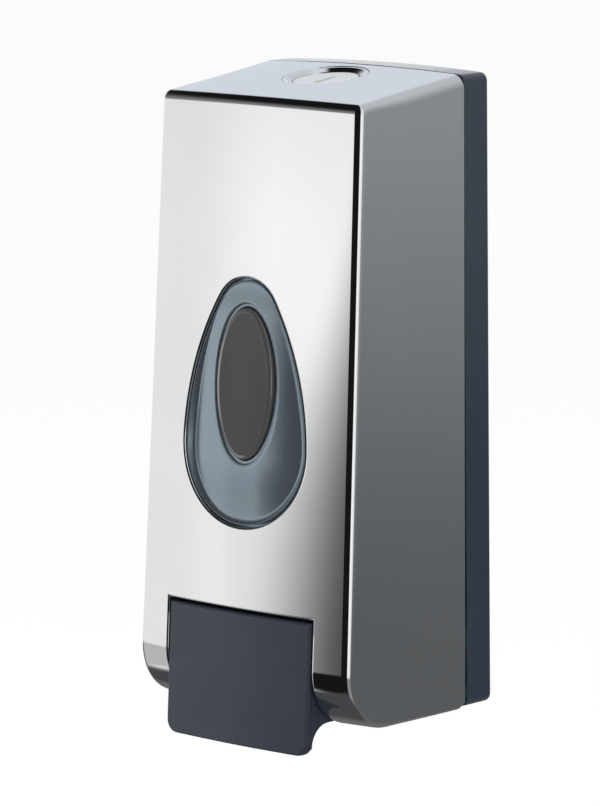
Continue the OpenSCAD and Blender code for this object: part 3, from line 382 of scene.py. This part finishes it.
def profile(sink):
    rows = []
    lock_depths = np.linspace(lock_rear, lock_front, lock_rows)
    for d in (rear_depth + rear_lip, *lock_depths, 53, 57, 61, top_stop - 1.5):
        k = (d - rear_depth) / (top_stop - rear_depth)
        z = (top_line - sink - d * top_way[0]) / top_way[1]
        toward_edge = np.clip((d - shoulder_start) / (shoulder_stop - shoulder_start), 0, 1)
        r = shoulder_r + (edge_r - shoulder_r) * toward_edge
        rows.append(((d, z), top_way, k * edge_crown, k * edge_arch + (1 - k) * rear_arch, r, "top"))
    for a in np.linspace(math.pi / 2 - top_fall, lean, edge_rows):
        p = edge_c + (top_edge_r - sink) * way(a)
        rows.append((p, way(a), edge_crown, edge_arch, edge_r, "edge"))
    notch_v = (notch_top + lip) / math.cos(lean)
    window_heights = np.linspace(window_high, window_low, window_rows)
    for v in (*above_window, *window_heights, 55, 47, notch_v, 32, 26, front_stop + 1.5):
        k = (v - front_stop) / (front_start - front_stop)
        p = np.array([front_depth - v * math.sin(lean), v * math.cos(lean)]) - sink * front_way
        tag = "notch_top" if v == notch_v else "front"
        rows.append((p, front_way, k * edge_crown + (1 - k) * curve_crown, k * edge_arch, edge_r, tag))
    for k in np.linspace(0, 1, curve_rows):
        a = lean + k * (-math.pi / 2 - lean)
        r = edge_r + (curve_edge_r - edge_r) * k
        rows.append((curve_c + (curve_r - sink) * way(a), way(a), curve_crown, none, r, "curve"))
    for d in (curve_c[0] - 2, 50, 42, 35, notch_rear - lip, pocket_front + small_lip, 22, hinge_d + 1):
        k = np.clip((d - under_stop) / (curve_c[0] - under_stop), 0, 1)
        r = under_edge_r + (curve_edge_r - under_edge_r) * k
        tag = {notch_rear - lip: "notch_rear", pocket_front + small_lip: "pocket_front"}.get(d, "under")
        rows.append(((d, sink), np.array([0, -1]), k * curve_crown, none, r, tag))
    last = math.asin((hinge_d - rear_depth - rear_lip) / hinge_r)
    for a in np.linspace(-math.pi / 2, -math.pi / 2 - last, hinge_rows):
        rows.append((hinge_c + (hinge_r - sink) * way(a), way(a), none, none, under_edge_r, "hinge"))
    return rows


def on_profile(row, x):
    p, n, by_crown, by_arch = (np.asarray(v, float) for v in row[:4])
    place = p + by_crown * crown(x) + by_arch * arch(x)
    tip = -(by_crown @ n) * crown_slope(x) - (by_arch @ n) * arch_slope(x)
    out = np.array([tip, *n])
    return np.array([x, *place]), out / np.linalg.norm(out)


line_gap, even_lines, side_guess, edge_steps = 3.1, 11, 48, 8
window_side, lock_side, notch_side, pocket_side = 10, 6, 11, 12


def half_section(row, sink, pocketed):
    r = max(row[4] - sink, least_r)
    x = side_guess - sink - r
    for _ in range(12):
        p, n = on_profile(row, x)
        x += (side_line - sink - r) - side_way @ (p - r * n)
    p, n = on_profile(row, x)
    near, far = (pocket_in - small_lip, pocket_out + small_lip) if pocketed else (
        notch_half + lip + share * (x - notch_half - lip) for share in (0.4, 0.8))
    lines = [line_gap * i for i in range(even_lines)] + [notch_half + lip, near, far, x]
    section = [on_profile(row, line) for line in lines]
    centre = p - r * n
    angle = math.acos(np.clip(n @ side_way, -1, 1))
    for i in range(1, edge_steps + 1):
        k = i / edge_steps
        out = (math.sin((1 - k) * angle) * n + math.sin(k * angle) * side_way) / math.sin(angle)
        section.append((centre + r * out, out))
    return section


window_mid, window_gap = (0, 112), 0.1
oval_mid, oval_half_wide, oval_half_high = 115.4, 12.9, 26.4


def drop_outline(grow):
    low_c, high_c, side_c = (0, 93.8), (0, 137.4), (-72.5517, 91.2318)
    low_r, high_r, side_r = 27.4, 14, 100
    low_a, high_a = math.radians(2.03), math.radians(32.47)
    arcs = [(low_c, low_r, -math.pi / 2, low_a, 60), (side_c, side_r, low_a, high_a, 40),
            (high_c, high_r, high_a, math.pi / 2, 40)]
    points = [(c[0] + (r + grow) * math.cos(a), c[1] + (r + grow) * math.sin(a))
              for c, r, a0, a1, count in arcs for a in np.linspace(a0, a1, count)]
    return np.array(points + [(-x, v) for x, v in reversed(points)])


def oval_outline(grow):
    turn = np.linspace(-math.pi / 2, math.pi * 1.5, 361)[:-1]
    return np.stack([(oval_half_wide + grow) * np.cos(turn),
                     oval_mid + (oval_half_high + grow) * np.sin(turn)], 1)


def reach(outline, centre, bearings):
    rel = outline - np.array(centre)
    around = np.arctan2(rel[:, 1], rel[:, 0])
    order = np.argsort(around)
    around, far = around[order], np.hypot(rel[:, 0], rel[:, 1])[order]
    return np.interp(bearings, around, far, period=2 * math.pi)


def cover_points(sink):
    rows = profile(sink)
    tags = [row[5] for row in rows]
    first_pocketed = tags.index("pocket_front")
    places, ways = [], []
    for s, row in enumerate(rows):
        half = half_section(row, sink, s >= first_pocketed)
        for p, n in reversed(half[1:]):
            places.append(p * (-1, 1, 1))
            ways.append(n * (-1, 1, 1))
        for p, n in half:
            places.append(p)
            ways.append(n)
    columns = 2 * len(half) - 1
    mid = len(half) - 1
    window_first = tags.index("front") + len(above_window)
    window = (window_first, window_first + window_rows - 1, window_side)
    lock = (1, lock_rows, lock_side)
    patches = []
    for (s0, s1, side), centre, along, on_face in ((window, window_mid, along_front, on_front),
                                                   (lock, (0, 0), along_top, on_top)):
        loop = [s0 * columns + mid + j for j in range(-side, side)]
        loop += [s * columns + mid + side for s in range(s0, s1)]
        loop += [s1 * columns + mid - j for j in range(-side, side)]
        loop += [s * columns + mid - side for s in range(s1, s0, -1)]
        flat = [(places[i][0], along(places[i])) for i in loop]
        bearings = np.array([math.atan2(v - centre[1], x - centre[0]) for x, v in flat])
        if along is along_front:
            far = reach(drop_outline(window_gap + lip), centre, bearings)
        else:
            far = np.full(len(loop), lock_r + small_lip)
        rings = [loop]
        for k in (0.3, 0.55, 0.75, 0.9, 1):
            ring = []
            for (x, v), bearing, hole in zip(flat, bearings, far):
                hx, hv = centre[0] + hole * math.cos(bearing), centre[1] + hole * math.sin(bearing)
                p, n = on_face(x + k * (hx - x), v + k * (hv - v), sink)
                ring.append(len(places))
                places.append(p)
                ways.append(n)
            rings.append(ring)
        patches.append(rings)
    return rows, tags, columns, mid, window, lock, patches, np.array(places), np.array(ways)


def mesh_from(name, places, faces, corner_ways=None):
    mesh = bpy.data.meshes.new(name)
    mesh.from_pydata([tuple(p) for p in places], [], faces)
    mesh.polygons.foreach_set("use_smooth", [True] * len(faces))
    if corner_ways is not None:
        mesh.normals_split_custom_set(corner_ways)
    mesh.update()
    piece = bpy.data.objects.new(name, mesh)
    scene.collection.objects.link(piece)
    return piece


lip_steps, mitre_limit, top_lips_z, hair = 4, 0.3, 200, 0.02


def cover_mesh(name):
    rows, tags, columns, mid, window, lock, patches, outer, outer_ways = cover_points(0)
    *_, inner, inner_ways = cover_points(wall)
    notch = (tags.index("notch_top"), tags.index("notch_rear"), notch_side)
    pocket_row = tags.index("pocket_front")
    skin = []
    for s in range(len(rows) - 1):
        for j in range(columns - 1):
            a, b = sorted((abs(j - mid), abs(j + 1 - mid)))
            cut = any(s0 <= s < s1 and b <= side for s0, s1, side in (window, lock, notch))
            if cut or (s >= pocket_row and a >= pocket_side and b <= pocket_side + 1):
                continue
            corner = s * columns + j
            skin.append((corner, corner + columns, corner + columns + 1, corner + 1))
    for rings in patches:
        for one, two in zip(rings, rings[1:]):
            for i in range(len(one)):
                k = (i + 1) % len(one)
                skin.append((one[i], two[i], two[k], one[k]))
    skin.append(tuple(s * columns + columns - 1 for s in range(len(rows))))
    skin.append(tuple(s * columns for s in reversed(range(len(rows)))))
    used = sorted({i for face in skin for i in face})
    fresh = {old: new for new, old in enumerate(used)}
    skin = [tuple(fresh[i] for i in face) for face in skin]
    outer, outer_ways, inner, inner_ways = outer[used], outer_ways[used], inner[used], inner_ways[used]
    count = len(used)
    places = [*outer, *inner]
    faces, corner_ways = [], []
    for face in skin:
        faces.append(face)
        corner_ways += [outer_ways[i] for i in face]
    for face in skin:
        faces.append(tuple(count + i for i in reversed(face)))
        corner_ways += [-inner_ways[i] for i in reversed(face)]
    # A rolled lip runs round every opening, and a plain wall joins it to the inside
    half_edges = {(face[i - 1], face[i]) for face in skin for i in range(len(face))}
    after = {a: b for a, b in half_edges if (b, a) not in half_edges}
    while after:
        start = next(iter(after))
        loop = [start]
        while after[loop[-1]] != start:
            loop.append(after[loop[-1]])
        for i in loop:
            del after[i]
        size = len(loop)
        aside = []
        for i in range(size):
            one, two = loop[i], loop[(i + 1) % size]
            across = np.cross(outer[two] - outer[one], -(outer_ways[one] + outer_ways[two]))
            aside.append(across / np.linalg.norm(across))
        previous = loop
        before = [outer_ways[i] for i in loop]
        for step in range(1, lip_steps + 1):
            turn = step * math.pi / (2 * lip_steps)
            ring, ring_ways = [], []
            for i, vertex in enumerate(loop):
                one, two = aside[i - 1], aside[i]
                into = (one + two) / max(1 + one @ two, mitre_limit)
                out = outer_ways[vertex]
                _, d, z = outer[vertex]
                small = z > top_lips_z or d < pocket_front + 1
                roll = rear_lip if d < rear_depth + rear_lip + hair else small_lip if small else lip
                moved = math.sin(turn) * into - (1 - math.cos(turn)) * out
                ring.append(len(places))
                places.append(outer[vertex] + roll * moved)
                bent = math.cos(turn) * out + math.sin(turn) * into / np.linalg.norm(into)
                ring_ways.append(bent / np.linalg.norm(bent))
            for i in range(size):
                k = (i + 1) % size
                faces.append((previous[k], previous[i], ring[i], ring[k]))
                corner_ways += [before[k], before[i], ring_ways[i], ring_ways[k]]
            previous, before = ring, ring_ways
        for i in range(size):
            k = (i + 1) % size
            faces.append((previous[k], previous[i], count + loop[i], count + loop[k]))
            corner_ways += [before[k], before[i], before[i], before[k]]
    return mesh_from(name, in_row(places), faces, in_row_way(corner_ways))


chrome, tree, shader, place = start_finish("bright_chrome")
haze = mottle(tree, place, 25, 4)
vary(tree, haze, shader.inputs["Roughness"], 0.035, 0.06)
tint(tree, haze, shader.inputs["Base Color"], (0.90, 0.905, 0.91), (0.93, 0.93, 0.93))
shader.inputs["Metallic"].default_value = 1.0
cover = cover_mesh("cover_shell")
wear(cover, chrome)
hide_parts("front_cover")
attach(cover, "cover")


# Bosses cast in one with the cover stand on its inside: a ring under the lock, two blocks that hold the
# lever's axle and two pads that hold the hinge pins.
def ringed(name, rings, closed):
    count = len(rings[0])
    places = [p for ring in rings for p in ring]
    faces = []
    pairs = list(zip(range(len(rings)), range(1, len(rings))))
    if closed:
        pairs.append((len(rings) - 1, 0))
    for a, b in pairs:
        for i in range(count):
            k = (i + 1) % count
            faces.append((a * count + i, a * count + k, b * count + k, b * count + i))
    if not closed:
        faces.append(tuple(reversed(range(count))))
        faces.append(tuple((len(rings) - 1) * count + i for i in range(count)))
    piece = mesh_from(name, in_row(places), faces)
    work = bmesh.new()
    work.from_mesh(piece.data)
    bmesh.ops.recalc_face_normals(work, faces=work.faces)
    work.to_mesh(piece.data)
    work.free()
    piece.data.set_sharp_from_angle(angle=math.radians(40))
    return piece


soft_edge, pin_bore_r, hinge_pad_r, axle_block_r, axle_block_front = 0.4, 2.06, 4.7, 5.5, 6.2
axle_at, axle_block_x = (68, 46), (notch_half + hair, 37.8)
hinge_at, hinge_pad_x = (hinge_d, hinge_r), (pocket_out + hair, 46.6)
lock_ring_section = ((13.1, -2.6), (15.1, -2.6), (15.7, -2.3), (17.5, -2.3), (17.5, -5.6),
                     (17.1, -6), (13.5, -6), (13.1, -5.6))
block_turns, lock_turns = (np.linspace(-math.pi, math.pi, count)[:-1] for count in (49, 65))


def axle_block(a):
    if math.cos(a) <= 0:
        return axle_block_r
    return min(axle_block_front / math.cos(a), axle_block_r / max(abs(math.sin(a)), 1e-6))


def hinge_pad(a):
    return hinge_pad_r


def bored_block(centre, shape, x0, x1):
    bore, outline = np.full(len(block_turns), pin_bore_r), np.array([shape(a) for a in block_turns])
    loops = []
    for x, far in ((x0, bore), (x0, outline - soft_edge), (x0 + soft_edge, outline),
                   (x1, outline), (x1, bore)):
        loops.append([(x, centre[0] + r * math.cos(a), centre[1] + r * math.sin(a))
                      for r, a in zip(far, block_turns)])
    return loops


lock_loops = [[from_top(r * math.cos(a), r * math.sin(a), w) for a in lock_turns]
              for r, w in lock_ring_section]
bosses = [ringed("boss_lock", lock_loops, True)]
for side in (-1, 1):
    for name, centre, shape, (x0, x1) in (("axle", axle_at, axle_block, axle_block_x),
                                          ("hinge", hinge_at, hinge_pad, hinge_pad_x)):
        loops = [[(side * x, d, z) for x, d, z in loop] for loop in bored_block(centre, shape, x0, x1)]
        bosses.append(ringed(f"boss_{name}_{side}", loops, True))
work = bmesh.new()
for boss in bosses:
    work.from_mesh(boss.data)
    bpy.data.meshes.remove(boss.data)
cover_bosses = piece_from(work, "cover_bosses", 40)
wear(cover_bosses, chrome)
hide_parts("front_cover")
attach(cover_bosses, "cover")


# The window trim is a drop-shaped dish moulded in ABS with a slate metallic finish. It is pushed in from
# behind up to its flange, and an oval hole in its floor takes the lens.
bearings = np.linspace(-math.pi, math.pi, 241)[:-1]
rim_out, rim_in, rim_sink, rim_drop = 0.6, 1.15, 0.5, 0.2
wall_fall, foot_round, foot_share, foot_guess = 1.05, 1.1, 0.45, 1.6
floor_mid, flat_half, floor_r, high_fall, low_fall = -0.35, 5, 60, 0.55, 1.3
groove_width, groove_depth, groove_lip = 1.1, 0.75, 0.4
groove_section = ((0.1 - groove_width, groove_depth), (-0.2, groove_depth), (0, groove_depth - 0.2),
                  (0, 0.4), (0.05, 0.22), (0.17, 0.08))
rim_bead = ((0.86, 0.1), (0.68, 0.03), (0.5, 0), (0.32, 0.03), (0.14, 0.12), (0, 0.3), (0, 2.15))
flange_section = ((2.3, 2.62), (2.5, 2.8), (2.5, 3.9), (2.3, 4.1), (0, 4.1), (0, 6.8), (-0.2, 7))
lens_seat = ((2.1, -7.2), (2.1, -5.4), (0, -5.4))


def smooth(value, start, stop):
    k = np.clip((value - start) / (stop - start), 0, 1)
    return k * k * (3 - 2 * k)


def dish_floor(x, v):
    aside = np.maximum(np.abs(x) - flat_half, 0)
    ends = high_fall * smooth(v, 138, 150) + low_fall * smooth(-v, -90, -64)
    return floor_mid - (floor_r - np.sqrt(floor_r ** 2 - aside ** 2)) - ends


def below_floor(sink):
    return lambda x, v: dish_floor(x, v) - sink


def below_cover(sink):
    return lambda x, v: -crown(x) - sink


def front_ring(far, level):
    x, v = far * np.cos(bearings), window_mid[1] + far * np.sin(bearings)
    w = level(x, v) if callable(level) else np.broadcast_to(level, x.shape)
    return from_front(x, v, w)


def level_at(far, level):
    return level(far * np.cos(bearings), window_mid[1] + far * np.sin(bearings))


def drop_reach(grow):
    return reach(drop_outline(grow), window_mid, bearings)


def oval_reach(grow):
    return reach(oval_outline(grow), window_mid, bearings)


hole, rim_inner = oval_reach(groove_width + groove_lip), drop_reach(-rim_in)
rim_level = level_at(rim_inner, below_cover(rim_sink + rim_drop))
foot = drop_reach(-rim_in - foot_guess)
for _ in range(8):
    foot = rim_inner - (rim_level - level_at(foot, dish_floor)) * wall_fall
trim_rings = [front_ring(oval_reach(0), below_floor(groove_depth + 0.1))]
for grow, sink in groove_section:
    trim_rings.append(front_ring(oval_reach(groove_width + grow), below_floor(sink)))
low, high = foot - foot_round, foot + foot_share * (rim_inner - foot)
for k in (0, 0.1, 0.22, 0.36, 0.5, 0.64, 0.78, 0.9):
    trim_rings.append(front_ring(hole + k * (low - hole), dish_floor))
low_level, foot_level = level_at(low, dish_floor), level_at(foot, dish_floor)
high_level = foot_level + foot_share * (rim_level - foot_level)
for k in np.linspace(0, 1, 8):
    bend = ((1 - k) ** 2, 2 * k * (1 - k), k * k)
    trim_rings.append(front_ring(bend[0] * low + bend[1] * foot + bend[2] * high,
                                 bend[0] * low_level + bend[1] * foot_level + bend[2] * high_level))
trim_rings.append(front_ring(rim_inner, rim_level))
for share, sink in rim_bead:
    inset = rim_out + share * (rim_in - rim_out)
    trim_rings.append(front_ring(drop_reach(-inset), below_cover(rim_sink + sink)))
for grow, sink in flange_section:
    trim_rings.append(front_ring(drop_reach(grow), below_cover(sink)))
for grow, level in lens_seat:
    trim_rings.append(front_ring(oval_reach(grow), level))
slate_gloss, tree, shader, place = start_finish("glossy_slate")
cloud = mottle(tree, place, 50, 3)
tint(tree, cloud, shader.inputs["Base Color"], (0.330, 0.395, 0.447), (0.355, 0.424, 0.478))
vary(tree, cloud, shader.inputs["Roughness"], 0.25, 0.29)
grain(tree, cloud, shader, 0.00001)
shader.inputs["Metallic"].default_value = 0.88
trim = ringed("window_dish", trim_rings, True)
wear(trim, slate_gloss)
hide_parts("window_trim")
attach(trim, "cover")


# The lens is an oval plug of smoky acrylic whose face rolls over into a polished edge. Round its border
# the colour turns lighter grey and metallic, a painted highlight for the bright line along that edge. It
# sits in the dish from behind with a groove round it, and a thin rubber ring seals it.
roll_start, roll_turn = math.radians(11), math.radians(33)
roll_r, edge_round, lens_face, lens_side, lens_core = 4.2, 0.45, 0.65, -0.5, -11.5
roll_width = (roll_r * (math.sin(roll_turn) - math.sin(roll_start))
              + edge_round * (1 - math.sin(roll_turn)))
plug_section = ((lens_side, -2.6), (-0.1, -2.75), (-0.1, -6.2), (1.9, -6.2), (2, -6.3), (2, -7.6),
                (1.9, -7.7), (lens_core, -7.7))


def roll_level(turn):
    return lens_face - roll_r * (math.cos(roll_start) - math.cos(turn))


lens_rings = [front_ring(oval_reach(grow), lens_face)
              for grow in (lens_core, -8, -5, -3.2, lens_side - roll_width - 0.05)]
for turn in np.linspace(roll_start, roll_turn, 7):
    grow = lens_side - roll_width + roll_r * (math.sin(turn) - math.sin(roll_start))
    lens_rings.append(front_ring(oval_reach(grow), roll_level(turn)))
for turn in np.linspace(roll_turn, math.pi / 2, 6)[1:]:
    level = roll_level(roll_turn) - edge_round * (math.cos(roll_turn) - math.cos(turn))
    lens_rings.append(front_ring(oval_reach(lens_side - edge_round * (1 - math.sin(turn))), level))
for grow, level in plug_section:
    lens_rings.append(front_ring(oval_reach(grow), level))
smoke, tree, shader, place = start_finish("smoky_acrylic")
oval_half = tuple((half + lens_side - roll_width) * MM for half in (oval_half_wide, oval_half_high))
oval_z = (oval_mid * math.cos(lean) - middle_z) * MM
from_middle = tree.nodes.new("ShaderNodeMapping")
from_middle.inputs["Location"].default_value = (0, 0, -oval_z / oval_half[1])
from_middle.inputs["Scale"].default_value = (1 / oval_half[0], 0, 1 / oval_half[1])
how_far = tree.nodes.new("ShaderNodeVectorMath")
how_far.operation = "LENGTH"
# Painted highlight: a thin band at the lens's border turns lighter and metallic, standing in for its
# edge's bright line.
painted_edge_highlight = tree.nodes.new("ShaderNodeMapRange")
for name, number in (("From Min", 1.0), ("From Max", 1.015), ("To Max", 0.82)):
    painted_edge_highlight.inputs[name].default_value = number
tree.links.new(place, from_middle.inputs["Vector"])
tree.links.new(from_middle.outputs["Vector"], how_far.inputs[0])
tree.links.new(how_far.outputs["Value"], painted_edge_highlight.inputs["Value"])
veil = mottle(tree, place, 45, 2, (1, 1, 0.25))
mix = tree.nodes.new("ShaderNodeMix")
mix.data_type = "RGBA"
tint(tree, veil, mix.inputs[6], (0.020, 0.020, 0.022), (0.034, 0.034, 0.036))
mix.inputs[7].default_value = (0.36, 0.37, 0.375, 1)
tree.links.new(painted_edge_highlight.outputs["Result"], mix.inputs["Factor"])
tree.links.new(mix.outputs[2], shader.inputs["Base Color"])
tree.links.new(painted_edge_highlight.outputs["Result"], shader.inputs["Metallic"])
vary(tree, veil, shader.inputs["Roughness"], 0.10, 0.14)
shader.inputs["IOR"].default_value = 1.49
lens = ringed("oval_lens", lens_rings, False)
wear(lens, smoke)
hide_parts("window_lens")
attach(lens, "cover")


# The lock is a chromed zinc bezel with a turning barrel, let into the top and held by a nut from below.
# A clip keeps the barrel in, and a screw holds the cam to its square end.
face_rise, cone_rim, cone_foot, cone_depth = 0.75 * MM, 14 * MM, 11.6 * MM, 3 * MM
lock_middle = Vector((0, -lock_d, lock_z - middle_z)) * MM
out_of_top = Vector((0, -math.sin(top_fall), math.cos(top_fall)))


def raised(node):
    work = merged(node)
    for vertex in work.verts:
        place = vertex.co - lock_middle
        height = place.dot(out_of_top)
        share = (cone_rim - (place - height * out_of_top).length) / (cone_rim - cone_foot)
        if height > -cone_depth and share > 0:
            vertex.co += min(share, 1) * face_rise * out_of_top
    return work


softened(raised("lock_bezel"), "lock_bezel", "lock_bezel_ring", "cover", chrome, 0.00025,
         turns=3, limit=15)
pearl, tree, shader, place = start_finish("pearl_chrome")
blasted = mottle(tree, place, 2500, 2)
tint(tree, blasted, shader.inputs["Base Color"], (0.90, 0.905, 0.91), (0.95, 0.95, 0.95))
vary(tree, blasted, shader.inputs["Roughness"], 0.30, 0.40)
grain(tree, blasted, shader, 0.000006)
shader.inputs["Metallic"].default_value = 0.3
softened(raised("lock_barrel"), "lock_barrel", "lock_barrel_face", "lock", pearl, 0.0003,
         turns=3)
for node in ("lock_nut", "lock_clip", "lock_cam", "cam_screw"):
    wear(nodes[node], zinc)


# The push plate is moulded in slate ABS with two cheeks and a hub, and turns on a steel axle in the
# cover. Its face has a fine satin grain, and its front edges are rounded.
plate_slate = moulded("matt_slate_abs", (0.023, 0.029, 0.042), (0.027, 0.033, 0.048),
                      shine=0.26, rough=0.31, grain_size=0.0012, grain_depth=0.000001)
plate_edge, face_gap, sharp_edge = 0.8 * MM, 0.05, 35
work = merged("push_lever")


def off_front(vertex):
    x, d, z = vertex.co.x / MM, -vertex.co.y / MM, vertex.co.z / MM + middle_z
    return (d - front_depth) * math.cos(lean) + z * math.sin(lean) + crown(x)


on_face = {vertex for vertex in work.verts if abs(off_front(vertex)) < face_gap}
face_edges = [edge for edge in work.edges
              if on_face.issuperset(edge.verts) and edge.calc_face_angle(0) > math.radians(sharp_edge)]
bmesh.ops.bevel(work, geom=face_edges, offset=plate_edge, offset_type="OFFSET", segments=4, profile=0.5,
                affect="EDGES", clamp_overlap=True)
push_plate = piece_from(work, "push_plate", sharp_edge)
push_plate.modifiers.new("even_shading", "WEIGHTED_NORMAL").keep_sharp = True
wear(push_plate, plate_slate)
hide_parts("push_lever")
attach(push_plate, "lever")


# The studio has a plain pale floor well below the dispenser and is white all round. Soft panels stand
# where only the chrome and the other glossy pieces show them, and two wide lamps, a key and a fainter
# fill, light the rest.
floor_half, floor_level = 15, -0.8
floor_mesh = bpy.data.meshes.new("floor")
floor_mesh.from_pydata([(x * floor_half, y * floor_half, floor_level)
                        for x, y in ((-1, -1), (1, -1), (1, 1), (-1, 1))], [], [(0, 1, 2, 3)])
floor = bpy.data.objects.new("floor", floor_mesh)
scene.collection.objects.link(floor)
floor_paint, tree, shader, place = start_finish("pale_floor")
shader.inputs["Base Color"].default_value = (0.85, 0.85, 0.85, 1)
shader.inputs["Roughness"].default_value = 0.9
shader.inputs["Emission Color"].default_value = (1, 1, 1, 1)
shader.inputs["Emission Strength"].default_value = 0.5
floor_mesh.materials.append(floor_paint)
floor.visible_glossy = False

world = bpy.data.worlds.new("studio")
scene.world = world
world.use_nodes = True
tree = world.node_tree
tree.nodes.clear()
add, link = tree.nodes.new, tree.links.new


def reckon(kind, one, two=None):
    node = add("ShaderNodeMath")
    node.operation = kind
    for socket, value in zip(node.inputs, (one, two)):
        if isinstance(value, (int, float)):
            socket.default_value = value
        elif value is not None:
            link(value, socket)
    return node.outputs["Value"]


def ease(value, start, stop, low=0.0, high=1.0):
    node = add("ShaderNodeMapRange")
    node.interpolation_type = "SMOOTHSTEP"
    link(value, node.inputs["Value"])
    for name, number in (("From Min", start), ("From Max", stop), ("To Min", low), ("To Max", high)):
        node.inputs[name].default_value = number
    return node.outputs["Result"]


def blend(share, one, two):
    node = add("ShaderNodeMix")
    node.data_type = "RGBA"
    link(share, node.inputs["Factor"])
    for socket, value in zip((node.inputs[6], node.inputs[7]), (one, two)):
        if isinstance(value, tuple):
            socket.default_value = (*value, 1)
        else:
            link(value, socket)
    return node.outputs[2]


look = add("ShaderNodeTexCoord")
parts = add("ShaderNodeSeparateXYZ")
link(look.outputs["Generated"], parts.inputs["Vector"])
degree = 180 / math.pi
forward = reckon("MULTIPLY", parts.outputs["Y"], -1.0)
bearing = reckon("MULTIPLY", reckon("ARCTAN2", parts.outputs["X"], forward), degree)
height = reckon("MULTIPLY", reckon("ARCSINE", parts.outputs["Z"]), degree)
back_bearing = reckon("FLOORED_MODULO", bearing, 360.0)


# A panel lies before what is behind it. Its sides are bearings and its ends are heights, in degrees,
# each with half the width over which it fades.
def panel(behind, tone, sides, ends, soft_sides, soft_ends, about=bearing, share=None):
    shares = [] if share is None else [share]
    for value, (low, high), (soft_low, soft_high) in ((about, sides, soft_sides),
                                                      (height, ends, soft_ends)):
        shares.append(ease(value, low - soft_low, low + soft_low))
        shares.append(ease(value, high - soft_high, high + soft_high, 1, 0))
    cover_share = shares[0]
    for other in shares[1:]:
        cover_share = reckon("MULTIPLY", cover_share, other)
    return blend(cover_share, behind, tone)


all_round, black = (-400, 400), (0.008, 0.008, 0.009)
surround = panel((0.99, 0.99, 0.99), (0.82, 0.825, 0.825), (-180, -45), (-12, 90), (1, 9), (4, 4))
surround = panel(surround, (0.78, 0.79, 0.80), (74, 110), (-20, 90), (8, 4), (4, 4))
surround = panel(surround, (0.66, 0.70, 0.76), (200, 300), (2, 90), (10, 14), (5, 5), back_bearing)
side_tone = blend(ease(height, -11, -2.5), (0.10, 0.105, 0.11), (0.275, 0.29, 0.305))
side_tone = blend(ease(height, -3, 50), side_tone, (0.50, 0.53, 0.56))
surround = panel(surround, side_tone, (91, 206), (-50, 120), (4, 13), (4, 4), back_bearing)
surround = panel(surround, (0.96, 0.98, 1.0), (206, 250), (0, 10), (5, 10), (2, 4), back_bearing)
overhead_tone = blend(ease(height, 6, 40), (0.22, 0.22, 0.225), black)
surround = panel(surround, overhead_tone, (-124, 60), (2.5, 120), (7, 20), (5.5, 4))
surround = panel(surround, (0.79, 0.80, 0.805), (-44, -10), (-40, -4.2), (4, 5), (4, 1.6))
shade_edge, shade_width = ease(height, -7, -0.5, -32, -20.8), ease(height, -6.5, -1.5, 9.5, 4.5)
shade = ease(reckon("DIVIDE", reckon("SUBTRACT", bearing, shade_edge), shade_width), -1, 1)
surround = panel(surround, (0.085, 0.085, 0.088), (-60, 43), (-45, 40), (4, 2), (4, 4), share=shade)
surround = panel(surround, black, (-22, 54), (-60, 120), (0.8, 2), (4, 4))
surround = panel(surround, (0.24, 0.245, 0.25), (43, 92), (-90, -11), (2, 5), (2, 2))
surround = panel(surround, (0.48, 0.49, 0.50), (-84, -38), (-36, -11), (6, 3), (2, 2))
surround = panel(surround, black, (-38, 54), (-44, -9), (3, 2), (2, 2))
surround = panel(surround, (0.12, 0.125, 0.13), (-150, -80), (-90, -11), (6, 6), (2, 2))
surround = panel(surround, (0.06, 0.062, 0.066), all_round, (-120, -38), (1, 1), (1, 3))
surround = panel(surround, (0.14, 0.145, 0.15), (125, 240), (-75, -14), (20, 14), (6, 4), back_bearing)
paths = add("ShaderNodeLightPath")
ambient = (0.55, 0.55, 0.55)
seen = blend(paths.outputs["Is Diffuse Ray"], surround, ambient)
seen = blend(paths.outputs["Is Camera Ray"], seen, (1.0, 1.0, 1.0))
sky = add("ShaderNodeBackground")
sky.inputs["Strength"].default_value = 1.0
link(seen, sky.inputs["Color"])
out = add("ShaderNodeOutputWorld")
link(sky.outputs["Background"], out.inputs["Surface"])


def lamp(name, place, size, power):
    light = bpy.data.lights.new(name, "AREA")
    light.size = size
    light.energy = power
    obj = bpy.data.objects.new(name, light)
    obj.location = place
    obj.rotation_euler = (-Vector(place)).to_track_quat("-Z", "Y").to_euler()
    obj.visible_glossy = False
    scene.collection.objects.link(obj)


lamp("key_lamp", (-1.3, -1.9, 1.4), 1.2, 30)
lamp("fill_lamp", (1.8, -1.0, 0.7), 1.4, 8)
